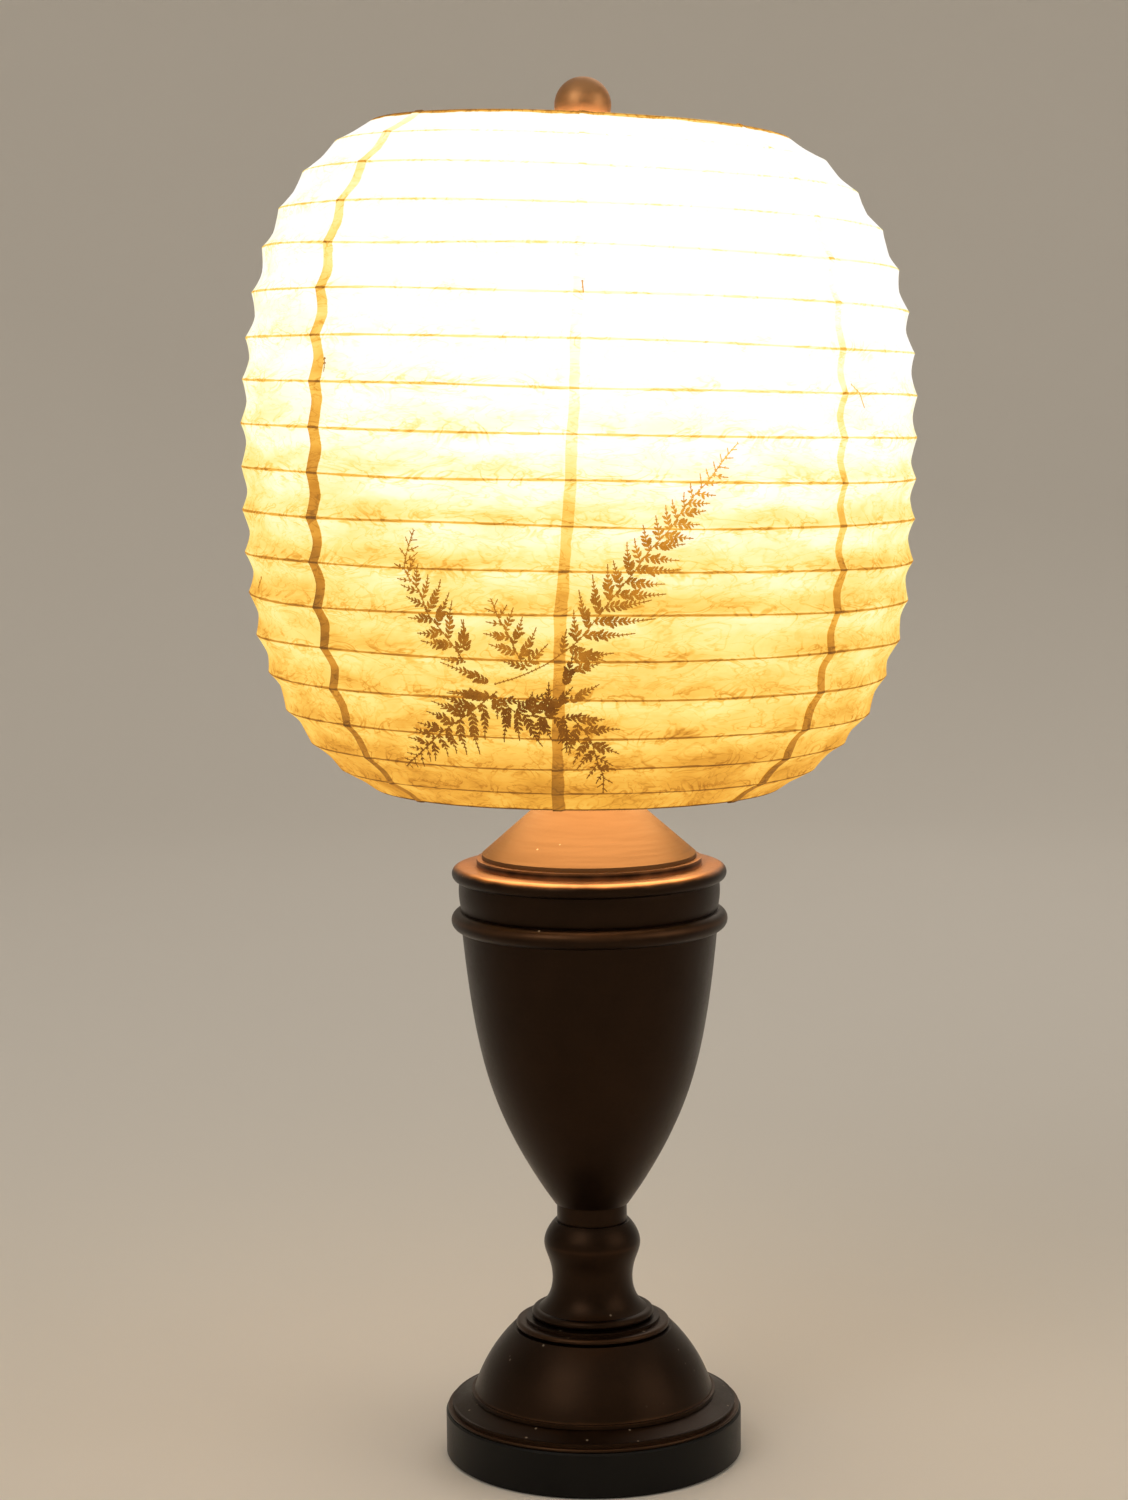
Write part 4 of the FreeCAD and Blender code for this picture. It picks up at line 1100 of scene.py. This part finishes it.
class LANTERN_OT_rims_and_spider(bpy.types.Operator):
    """Makes the wires of both rims, and the spider that hangs the top one on the harp"""
    bl_idname = "lantern.rims_and_spider"
    bl_label = "Rims and Spider"

    def execute(self, context):
        shade = Shade(context.scene)
        material = plain_finish("brown_wire", (0.115, 0.055, 0.022), contrast=1.0, scale=120.0,
                                roughness=(0.4, 0.6), metallic=0.3, bump=0.15, spread=0.4)
        tree = wire_tree()
        for index, body, still_z in ((0, "shade", shade.still_z), (LAST, "shade_hem", shade.bottom_z)):
            node = shade.names[index]
            values = {"Wire Radius": shade.wires[index], "Unevenness": 0.04, "Grain": 90.0, "Sides": 10,
                      "Seed": index, "Material": material}
            mesh = through_nodes(path_mesh([shade.hoop(index, RIM_SEGMENTS)], True), tree, values)
            folds(finished("rim_" + node, mesh, material, body, "brown_wire", node))
        self.spider(shade, tree, material)
        return {"FINISHED"}

    def spider(self, shade, tree, material):
        """Three straight arms from the hub, each running out to the rim's wire and ending inside it."""
        lo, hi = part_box("shade_spider")
        stud_lo, stud_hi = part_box("harp_stud")
        hub_z = shade.heights[0]
        hub_r = (stud_hi.x - stud_lo.x) / 2 + HUB_BRIM
        arm_r = (hi.z - lo.z) / 2
        arms = []
        for degrees in (90, 210, 330):
            turn = math.radians(degrees)
            start = Vector((math.cos(turn), math.sin(turn), 0)) * (hub_r - arm_r) + Vector((0, 0, hub_z))
            end = shade.ring_point(0, turn)
            stop = end - (end - start).normalized() * (shade.wires[0] * 0.6)
            arms.append([start.lerp(stop, step / ARM_SEGMENTS) for step in range(ARM_SEGMENTS + 1)])
        values = {"Wire Radius": arm_r, "Unevenness": 0.03, "Grain": 90.0, "Sides": 10, "Seed": 4,
                  "Material": material}
        wires = through_nodes(path_mesh(arms, False), tree, values)
        hub = lathe(rounded_ring(BORE_R, hub_r, hub_z - arm_r, hub_z + arm_r, 0.0003), 48)
        arms_piece = finished("spider_arms", outward(wires), material, "shade", "brown_wire", "shade_spider")
        folds(arms_piece)
        finished("spider_hub", outward(hub), material, "shade", "brown_wire", "shade_spider")


# ---- pressed fern ----
# A stem is a list of (degrees from the front, height in millimetres) from the foot to the tip.
# A spray also has its longest side branch in millimetres, where the branches start along the
# stem, how much light the leaves let through, and how long the left branches are against the
# right. A single leaf has the length of its leaflets in millimetres, and its light.
Spray = namedtuple("Spray", "stem branch start light left")
Leaf = namedtuple("Leaf", "stem leaflet light")
SPRAYS = [
    Spray([(-14.5, 372), (-10.5, 375), (-6.0, 380), (-3.0, 385), (0.0, 391), (3.0, 401), (7.0, 414),
           (10.0, 424), (14.0, 436), (18.0, 449), (22.0, 460), (25.0, 469)], 26.0, 0.22, 0.25, 0.66),
    Spray([(-19.0, 381), (-21.0, 388), (-23.0, 394), (-25.0, 402), (-26.5, 410), (-28.5, 418),
           (-28.5, 427), (-27.0, 435)], 20.0, 0.02, 0.24, 0.75),
    Spray([(-8.7, 378), (-10.0, 384), (-11.5, 392), (-13.0, 400), (-14.2, 407)], 16.0, 0.05, 0.25, 1.0),
    Spray([(-14.0, 369), (-18.0, 362), (-22.0, 356), (-26.0, 350), (-31.5, 342), (-37.5, 334)],
          22.0, 0.03, 0.22, 0.9),
    Spray([(-13.5, 366), (-11.0, 360), (-6.5, 358), (-2.6, 356), (-2.4, 343)], 19.0, 0.03, 0.16, 1.0),
    Spray([(-1.5, 358), (0.5, 353), (2.2, 347), (3.5, 338), (5.0, 331), (5.3, 324)],
          15.0, 0.02, 0.24, 1.0),
]
LEAVES = [
    Leaf([(-15.5, 373), (-23.5, 381)], 4.2, 0.25),
    Leaf([(-18.6, 386), (-19.2, 399)], 4.4, 0.22),
    Leaf([(-15.4, 367), (-23.0, 368)], 4.2, 0.25),
    Leaf([(-8.7, 380), (-5.2, 389)], 4.4, 0.26),
    Leaf([(-2.5, 372), (-1.0, 386)], 4.8, 0.15),
    Leaf([(-4.0, 363), (-1.2, 371)], 4.8, 0.16),
    Leaf([(-1.0, 383), (5.4, 385)], 4.8, 0.25),
    Leaf([(-1.0, 378), (3.2, 381)], 4.2, 0.25),
    Leaf([(-1.5, 365), (3.2, 372)], 4.2, 0.25),
    Leaf([(-18.3, 362), (-25.0, 361)], 4.2, 0.24),
    Leaf([(-5.4, 358), (-5.2, 373)], 5.0, 0.15),
    Leaf([(-8.1, 360), (-8.0, 369)], 4.4, 0.17),
    Leaf([(-13.5, 366), (-13.4, 355)], 4.2, 0.20),
    Leaf([(-11.0, 360), (-10.8, 348)], 4.4, 0.18),
    Leaf([(-6.6, 358), (-7.4, 348)], 4.4, 0.18),
    Leaf([(-3.0, 353), (-1.6, 342)], 4.0, 0.18),
    Leaf([(0.4, 356), (4.4, 357)], 3.8, 0.25),
    Leaf([(2.5, 343), (0.4, 339)], 3.2, 0.25),
    Leaf([(3.5, 336), (7.0, 335)], 3.2, 0.25),
    Leaf([(-70.5, 412), (-71.5, 407)], 2.6, 0.35),     # a scrap near the left seam
    Leaf([(0.0, 535), (0.2, 530)], 1.2, 0.10),         # three dark flecks higher up
    Leaf([(-45.8, 506), (-45.5, 500)], 1.8, 0.10),
    Leaf([(48.7, 493), (53.0, 483)], 1.3, 0.22),
]
LEAFLET_THICKNESS = 0.022    # against its length
STEM_STEPS = 60
STEM_LEAFLET = 0.0009        # leaflets on the stem itself
BRANCH_STEPS = 6
BRANCH_GAP = 0.0038
BRANCH_SLANT, BRANCH_BEND = math.radians(58), math.radians(13)
TWIG_R = 0.00022
OVER_PAPER = 0.00052         # from the paper's outside to the underside of the leaves


def leaflet_mesh():
    """A toothed leaflet of length one that points along X, as a thin closed plate."""
    upper = [(0.0, 0.04), (0.16, 0.17), (0.27, 0.14), (0.38, 0.27), (0.49, 0.18), (0.62, 0.25), (0.71, 0.14),
             (0.85, 0.13), (1.0, 0.0)]
    outline = upper + [(x, -y * 0.92) for x, y in reversed(upper[:-1])]
    count = len(outline)
    points = [(x, y, z) for z in (0.0, LEAFLET_THICKNESS) for x, y in outline]
    half = len(upper)
    mates = [(n, count - 1 - n) for n in range(half - 1)] + [(half - 1, half - 1)]
    faces = []
    for level, flip in ((0, True), (count, False)):
        for (a, b), (c, d) in zip(mates, mates[1:]):
            face = (b, d, c, a) if c != d else (b, c, a)
            face = tuple(level + n for n in face)
            faces.append(tuple(reversed(face)) if flip else face)
    for n in range(count):
        after = (n + 1) % count
        faces.append((n, count + n, count + after, after))
    return outward(mesh_of("leaflet", points, faces))


def spray_tree():
    """Geometry nodes that put leaflets in pairs along every branch, sized by the branch's own values."""
    tree, given, result = group(
        "Leaflets On Branches",
        [("Geometry", GEOMETRY, None), ("Leaflet", OBJECT, None), ("Spacing", FLOAT, 0.002),
         ("Spread", FLOAT, 0.7), ("Branch Radius", FLOAT, 0.0002), ("Seed", WHOLE, 1),
         ("Material", MATERIAL, None)],
        [("Geometry", GEOMETRY)], "GeometryNodeTree")
    curve = add(tree, "GeometryNodeMeshToCurve", {"Mesh": given.outputs["Geometry"]})
    even = add(tree, "GeometryNodeResampleCurve",
               {"Curve": curve.outputs[0], "Length": given.outputs["Spacing"]}, mode="LENGTH")
    dots = add(tree, "GeometryNodeCurveToPoints", {"Curve": even.outputs[0]}, mode="EVALUATED")
    size = add(tree, "GeometryNodeInputNamedAttribute", {"Name": "size"}, data_type="FLOAT").outputs[0]
    leaf = add(tree, "GeometryNodeObjectInfo", {"Object": given.outputs["Leaflet"]})
    along = add(tree, "FunctionNodeAlignRotationToVector", {"Vector": dots.outputs["Tangent"]},
                axis="X", pivot_axis="Z")
    parts = []
    for side in (1.0, -1.0):
        shift = int(side * 5 + 5)
        jitter = add(tree, "FunctionNodeRandomValue", {
            2: -0.22, 3: 0.22, "Seed": maths(tree, "ADD", given.outputs["Seed"], shift)}, data_type="FLOAT")
        angle = maths(tree, "ADD", maths(tree, "MULTIPLY", given.outputs["Spread"], side), jitter.outputs[1])
        swung = add(tree, "ShaderNodeCombineXYZ", {"Z": angle})
        turned = add(tree, "FunctionNodeRotateRotation",
                     {"Rotation": along.outputs[0], "Rotate By": swung.outputs[0]}, rotation_space="LOCAL")
        vary = add(tree, "FunctionNodeRandomValue", {
            2: 0.78, 3: 1.15, "Seed": maths(tree, "ADD", given.outputs["Seed"], shift + 3)},
            data_type="FLOAT")
        scale = maths(tree, "MULTIPLY", size, vary.outputs[1])
        put = add(tree, "GeometryNodeInstanceOnPoints", {
            "Points": dots.outputs[0], "Instance": leaf.outputs["Geometry"], "Rotation": turned.outputs[0],
            "Scale": scale})
        parts.append(put.outputs[0])
    ring = add(tree, "GeometryNodeCurvePrimitiveCircle",
               {"Resolution": 4, "Radius": given.outputs["Branch Radius"]})
    branch = add(tree, "GeometryNodeCurveToMesh",
                 {"Curve": even.outputs[0], "Profile Curve": ring.outputs[0], "Fill Caps": True})
    both = add(tree, "GeometryNodeJoinGeometry")
    for part in parts + [branch.outputs[0]]:
        tree.links.new(part, both.inputs[0])
    return painted(tree, given, result, both.outputs[0])


def smooth_path(points, steps):
    """Points evenly along a smooth curve through the given flat points."""
    ends = [points[0] * 2 - points[1]] + points + [points[-1] * 2 - points[-2]]
    dense = []
    for n in range(1, len(ends) - 2):
        before, here, there, after = ends[n - 1:n + 3]
        for step in range(12):
            t = step / 12
            dense.append(0.5 * (2 * here + (there - before) * t
                                + (2 * before - 5 * here + 4 * there - after) * t * t
                                + (3 * here - before - 3 * there + after) * t ** 3))
    dense.append(ends[-2])
    runs = [0.0]
    for first, second in zip(dense, dense[1:]):
        runs.append(runs[-1] + (second - first).length)
    path = []
    for step in range(steps + 1):
        want = runs[-1] * step / steps
        at = next((n for n in range(1, len(runs)) if runs[n] >= want - 1e-9), len(runs) - 1)
        share = (want - runs[at - 1]) / max(runs[at] - runs[at - 1], 1e-9)
        path.append(dense[at - 1].lerp(dense[at], share))
    return path, runs[-1]


class PressedFern:
    """Gathers the sprays and leaves as one mesh that lies on the paper."""

    def __init__(self, scene, material):
        self.settings = scene.lantern_fern
        self.shade = Shade(scene)
        self.paper = PaperMap(self.shade, (math.radians(-170), math.radians(-30)), 420, (3.0, 17.8), 178)
        self.bulb = bulb_centre()
        self.material = material
        self.leaflet = bpy.data.objects.new("leaflet", leaflet_mesh())
        self.tree = spray_tree()
        self.chance = random.Random(41)
        self.points, self.faces, self.glow, self.tone = [], [], [], []

    def spray(self, spray, seed):
        """A stem with branches on both sides by turns, longest near its foot."""
        path, length, middle = self.flat_path(spray.stem)
        paths, sizes = [path], [[STEM_LEAFLET] * len(path)]
        side, along = 1, spray.start * length
        while along < length * 0.985:
            share = along / length
            part = (share - spray.start) / (1 - spray.start)
            shape = min(1.0, 0.55 + 3.0 * part) * (1.0 - part) ** 0.85
            uneven = self.chance.uniform(0.82, 1.12)
            size = spray.branch / 1000 * shape * uneven * (spray.left if side > 0 else 1.0) + 0.0012
            paths.append(self.branch(path, share, side, size))
            widest = min(self.settings.leaflet, size * 0.36)
            sizes.append([widest * self.taper(n / BRANCH_STEPS) for n in range(BRANCH_STEPS + 1)])
            side = -side
            along += BRANCH_GAP * (0.55 + 0.45 * (1 - part))
        self.press(paths, sizes, middle, spray.light, seed)

    def leaf(self, leaf, seed):
        """A single leaf, with leaflets along its own stem."""
        path, _, middle = self.flat_path(leaf.stem)
        sizes = [leaf.leaflet / 1000 * self.taper(n / STEM_STEPS) for n in range(STEM_STEPS + 1)]
        self.press([path], [sizes], middle, leaf.light, seed)

    def flat_path(self, stem):
        """A stem laid out flat as an even path, with its length and its middle's direction."""
        middle = sum(degrees for degrees, _ in stem) / len(stem)
        flat = []
        for degrees, height in stem:
            radius = self.radius_at(height / 1000)
            flat.append(Vector((math.radians(degrees - middle) * radius, height / 1000, 0.0)))
        path, length = smooth_path(flat, STEM_STEPS)
        return path, length, middle

    def press(self, paths, sizes, middle, light, seed):
        """Puts leaflets on flat paths and lays them on the paper."""
        mesh = path_mesh(paths, False)
        write_floats(mesh, "size", [size for path in sizes for size in path])
        made = through_nodes(mesh, self.tree, {
            "Leaflet": self.leaflet, "Spacing": self.settings.spacing, "Spread": self.settings.spread,
            "Branch Radius": TWIG_R, "Seed": seed, "Material": self.material})
        offset = len(self.points)
        for vertex in made.vertices:
            x, height, rise = vertex.co
            turn = math.radians(middle - 90) + x / self.radius_at(height)
            point, normal = self.paper.at(turn, height)
            self.points.append(point + normal * (OVER_PAPER + max(rise, -0.0001)))
            self.glow.append(light_level(point, -normal, self.bulb))
            self.tone.append(light)
        for polygon in made.polygons:
            self.faces.append([offset + n for n in polygon.vertices])

    def radius_at(self, height):
        heights, radii = self.shade.heights, self.shade.radii
        for index in range(LAST):
            upper, lower = heights[index], heights[index + 1]
            if lower <= height <= upper:
                share = (upper - height) / (upper - lower)
                return radii[index] * (1 - share) + radii[index + 1] * share
        return radii[0] if height > heights[0] else radii[-1]

    def branch(self, path, share, side, size):
        """A side branch that leaves the stem at a slant and bends towards the tip."""
        at = min(int(share * (len(path) - 1)), len(path) - 2)
        way = (path[at + 1] - path[at]).normalized()
        slant = BRANCH_SLANT + math.radians(self.chance.uniform(-9, 9))
        points = [path[at].lerp(path[at + 1], share * (len(path) - 1) - at)]
        for step in range(1, BRANCH_STEPS + 1):
            turn = math.atan2(way.y, way.x) + side * (slant - BRANCH_BEND * step / BRANCH_STEPS)
            points.append(points[-1] + Vector((math.cos(turn), math.sin(turn), 0)) * size / BRANCH_STEPS)
        return points

    @staticmethod
    def taper(share):
        return (0.62 + 0.38 * math.sin(math.pi * min(share * 1.6, 1.0))) * (1.0 - share) ** 0.7 + 0.05


class LANTERN_OT_pressed_fern(bpy.types.Operator):
    """Lays the pressed fern sprays and leaves on the front of the shade"""
    bl_idname = "lantern.pressed_fern"
    bl_label = "Pressed Fern"

    def execute(self, context):
        material = fern_finish(context.scene.lantern_fern)
        fern = PressedFern(context.scene, material)
        for seed, spray in enumerate(SPRAYS):
            fern.spray(spray, seed)
        for seed, leaf in enumerate(LEAVES):
            fern.leaf(leaf, 40 + seed)
        bpy.data.objects.remove(fern.leaflet)
        mesh = mesh_of("pressed_fern", fern.points, fern.faces)
        write_floats(mesh, "glow", fern.glow)
        write_floats(mesh, "tone", fern.tone)
        folds(finished("pressed_fern", mesh, material, "shade", "fern_paper"))
        return {"FINISHED"}


# ---- finishes of the carried-over pieces ----
BASE_FINISHES = {
    "black_plinth": dict(colour=(0.0042, 0.0036, 0.0030), contrast=1.0, scale=30.0, fine=600.0,
                         roughness=(0.30, 0.44), bump=0.08, spread=0.45, shine=0.16),
    "felt": dict(colour=(0.020, 0.018, 0.016), contrast=1.2, scale=700.0, fine=3000.0,
                 roughness=(0.9, 1.0), bump=0.8, depth=0.0005),
    "cast_iron": dict(colour=(0.06, 0.055, 0.05), contrast=1.0, scale=200.0, roughness=(0.6, 0.85),
                      metallic=0.6, bump=0.6, depth=0.0005),
    "black_rubber": dict(colour=(0.015, 0.014, 0.013), roughness=(0.6, 0.8), bump=0.2),
}
FITTING_FINISHES = {
    "brass": dict(colour=(0.56, 0.37, 0.14), contrast=0.8, scale=50.0, roughness=(0.25, 0.42),
                  metallic=1.0, bump=0.05, spread=0.18),
    "zinc_steel": dict(colour=(0.46, 0.44, 0.40), contrast=0.9, scale=80.0, roughness=(0.28, 0.45),
                       metallic=1.0, bump=0.06, spread=0.15),
    "sleeve_steel": dict(colour=(0.58, 0.55, 0.48), contrast=0.7, scale=90.0, roughness=(0.18, 0.3),
                         metallic=1.0, bump=0.04, spread=0.1),
    "screw_shell": dict(colour=(0.66, 0.64, 0.58), contrast=0.8, scale=110.0, roughness=(0.3, 0.45),
                        metallic=1.0, bump=0.1, spread=0.12),
    "black_plastic": dict(colour=(0.018, 0.015, 0.013), contrast=0.7, scale=150.0,
                          roughness=(0.32, 0.48), bump=0.06),
    "liner_card": dict(colour=(0.42, 0.32, 0.20), contrast=1.0, scale=300.0, roughness=(0.8, 0.95),
                       bump=0.4, depth=0.0003),
    "tungsten": dict(colour=(0.30, 0.28, 0.26), roughness=(0.4, 0.5), metallic=1.0),
}


def dress(material, slot):
    """Gives every piece of a material slot its finish."""
    for row in frame["record"]["subparts"]:
        if row["material_slot"] != slot:
            continue
        node = frame["nodes"][row["node"]]
        if not node.material_slots:
            node.data.materials.append(material)
        for place in node.material_slots:
            place.material = material


class LANTERN_OT_base_finishes(bpy.types.Operator):
    """Finishes the urn, the dome, the plinth and the foot"""
    bl_idname = "lantern.base_finishes"
    bl_label = "Base Finishes"

    def execute(self, context):
        dress(bronze_finish(context.scene.lantern_metals), "aged_bronze")
        for slot, values in BASE_FINISHES.items():
            dress(plain_finish(slot, **values), slot)
        return {"FINISHED"}


class LANTERN_OT_copper_finishes(bpy.types.Operator):
    """Finishes the brushed copper cone and the ball on top"""
    bl_idname = "lantern.copper_finishes"
    bl_label = "Copper Finishes"

    def execute(self, context):
        metals = context.scene.lantern_metals
        for slot, values in (
                ("brushed_copper", (metals.copper, 2600.0, (0.56, 0.68), 0.16, 0.22)),
                ("copper_ball", (metals.ball, 900.0, (0.38, 0.50), 0.08, 0.35))):
            dress(copper_finish(slot, *values), slot)
        return {"FINISHED"}


class LANTERN_OT_fitting_finishes(bpy.types.Operator):
    """Finishes the harp, the lampholder, the riser and the bulb"""
    bl_idname = "lantern.fitting_finishes"
    bl_label = "Fitting Finishes"

    def execute(self, context):
        for slot, values in FITTING_FINISHES.items():
            dress(plain_finish(slot, **values), slot)
        dress(glass_finish(), "frosted_glass")
        return {"FINISHED"}


# ---- stage ----
FLOOR_R, FLOOR_COVE, WALL_TOP = 3.6, 1.4, 4.5
FLOOR_STEPS = 96
ROOM_LIGHT, ROOM_COLOUR = 0.48, (1.0, 0.95, 0.88, 1.0)
LAMP_COLOUR = (1.0, 0.66, 0.34)
LIGHTS_AIM = Vector((0, 0, 0.3))
CAMERA_X = -0.011            # a little to the left of the lamp
CAMERA_PITCH, CAMERA_LEAN = math.radians(83.5), math.radians(-0.53)


class LANTERN_OT_stage(bpy.types.Operator):
    """Sets the pale floor, the soft lights, the lamp's own light and the camera"""
    bl_idname = "lantern.stage"
    bl_label = "Stage"

    def execute(self, context):
        stage = context.scene.lantern_stage
        self.floor(stage)
        self.room(context.scene, stage)
        self.lamp_light(context.scene, stage)
        self.camera(context.scene, stage)
        context.scene.view_settings.view_transform = "Standard"
        return {"FINISHED"}

    def floor(self, stage):
        """A round floor that runs up into a wall all round."""
        material, tree, shader = new_material("stage_floor")
        cloud = placed(tree, mottle_group(), {
            "Vector": object_coordinates(tree), "Scale": 3.0, "Fine Scale": 160.0, "Contrast": 0.25})
        colour = mixed(tree, cloud.outputs["Tone"], scaled(stage.floor, 0.95), scaled(stage.floor, 1.05))
        fill(tree, shader, {"Base Color": colour, "Roughness": 0.8})
        flat_r = FLOOR_R - FLOOR_COVE
        outline = [(flat_r, 0.0)]
        for degrees in range(6, 91, 6):
            turn = math.radians(degrees)
            outline.append((flat_r + FLOOR_COVE * math.sin(turn), FLOOR_COVE - FLOOR_COVE * math.cos(turn)))
        outline.append((FLOOR_R, WALL_TOP))
        points, faces = [Vector((0, 0, 0))], []
        for r, z in outline:
            for n in range(FLOOR_STEPS):
                turn = 2 * math.pi * n / FLOOR_STEPS
                points.append(Vector((r * math.cos(turn), r * math.sin(turn), z)))
        for n in range(FLOOR_STEPS):
            after = (n + 1) % FLOOR_STEPS
            faces.append((0, 1 + n, 1 + after))
            for ring in range(len(outline) - 1):
                a, b = 1 + ring * FLOOR_STEPS + n, 1 + ring * FLOOR_STEPS + after
                faces.append((a, a + FLOOR_STEPS, b + FLOOR_STEPS, b))
        mesh = mesh_of("stage_floor", points, faces)
        mesh.shade_smooth()
        mesh.materials.append(material)
        floor = bpy.data.objects.new("stage_floor", mesh)
        bpy.context.scene.collection.objects.link(floor)
        floor.visible_shadow = False

    def light(self, scene, kind, name, place, power, colour, **settings):
        """Hangs a light at a place."""
        light = bpy.data.lights.new(name, kind)
        light.energy, light.color = power, colour
        for key, value in settings.items():
            setattr(light, key, value)
        lamp = bpy.data.objects.new(name, light)
        lamp.location = place
        scene.collection.objects.link(lamp)
        return lamp

    def room(self, scene, stage):
        """The soft light of the room: large lights in front, at the side and behind."""
        world = bpy.data.worlds.new("studio")
        world.use_nodes = True
        background = world.node_tree.nodes["Background"]
        fill(world.node_tree, background, {"Color": ROOM_COLOUR, "Strength": ROOM_LIGHT})
        scene.world = world
        for name, place, power, size, colour in (
                ("key", (-1.3, -1.7, 1.9), stage.key, 1.6, (1.0, 0.93, 0.84)),
                ("fill", (1.8, -0.8, 1.1), stage.fill, 1.4, (1.0, 0.90, 0.78)),
                ("back", (0.6, 1.9, 1.8), stage.fill, 1.6, (1.0, 0.93, 0.85))):
            lamp = self.light(scene, "AREA", name, place, power, colour, size=size)
            lamp.rotation_euler = (LIGHTS_AIM - Vector(place)).to_track_quat("-Z", "Y").to_euler()

    def lamp_light(self, scene, stage):
        """The bulb's own light, and what of it falls out of the shade's bottom."""
        bulb_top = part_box("bulb_glass")[1].z
        self.light(scene, "POINT", "lamp_light", (0, 0, bulb_top + 0.012), stage.bulb, LAMP_COLOUR,
                   shadow_soft_size=0.02)
        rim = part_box("shade_bottom_ring")[1]
        below = self.light(scene, "AREA", "lamp_light_down", (0, 0, rim.z + 0.012), stage.spill,
                           LAMP_COLOUR, shape="DISK", size=rim.x * 1.7)
        below.visible_camera = False

    def camera(self, scene, stage):
        data = bpy.data.cameras.new("camera")
        data.lens, data.sensor_width = stage.lens, 36.0
        data.clip_start = 0.01
        camera = bpy.data.objects.new("camera", data)
        turn = Matrix.Rotation(CAMERA_PITCH, 4, "X") @ Matrix.Rotation(CAMERA_LEAN, 4, "Z")
        camera.matrix_world = Matrix.Translation((CAMERA_X, -stage.distance, stage.eye)) @ turn
        scene.collection.objects.link(camera)
        scene.camera = camera


class LANTERN_PT_panel(bpy.types.Panel):
    """Lists the pieces of the lamp and their settings"""
    bl_idname = "LANTERN_PT_panel"
    bl_label = "Paper Lantern"
    bl_space_type = "VIEW_3D"
    bl_region_type = "UI"
    bl_category = "Lantern"

    def draw(self, context):
        for operator in OPERATORS:
            self.layout.operator(operator.bl_idname)
        for settings in SETTINGS:
            box = self.layout.box()
            for name in SETTINGS[settings].__annotations__:
                box.prop(getattr(context.scene, settings), name)


OPERATORS = [
    LANTERN_OT_base_finishes, LANTERN_OT_copper_finishes, LANTERN_OT_fitting_finishes,
    LANTERN_OT_paper_gores, LANTERN_OT_bamboo_ribs, LANTERN_OT_rims_and_spider, LANTERN_OT_pressed_fern,
    LANTERN_OT_stage,
]
SETTINGS = {
    "lantern_paper": LanternPaper, "lantern_ribs": LanternRibs, "lantern_fern": LanternFern,
    "lantern_metals": LanternMetals, "lantern_stage": LanternStage,
}


def register():
    for kind in list(SETTINGS.values()) + OPERATORS + [LANTERN_PT_panel]:
        bpy.utils.register_class(kind)
    for name, kind in SETTINGS.items():
        setattr(bpy.types.Scene, name, PointerProperty(type=kind))


def unregister():
    for name in SETTINGS:
        delattr(bpy.types.Scene, name)
    for kind in [LANTERN_PT_panel] + OPERATORS[::-1] + list(SETTINGS.values())[::-1]:
        bpy.utils.unregister_class(kind)


def main():
    register()
    bpy.ops.lantern.base_finishes()
    bpy.ops.lantern.copper_finishes()
    bpy.ops.lantern.fitting_finishes()
    bpy.ops.lantern.paper_gores()
    bpy.ops.lantern.bamboo_ribs()
    bpy.ops.lantern.rims_and_spider()
    bpy.ops.lantern.pressed_fern()
    bpy.ops.lantern.stage()


if __name__ == "__main__":
    main()
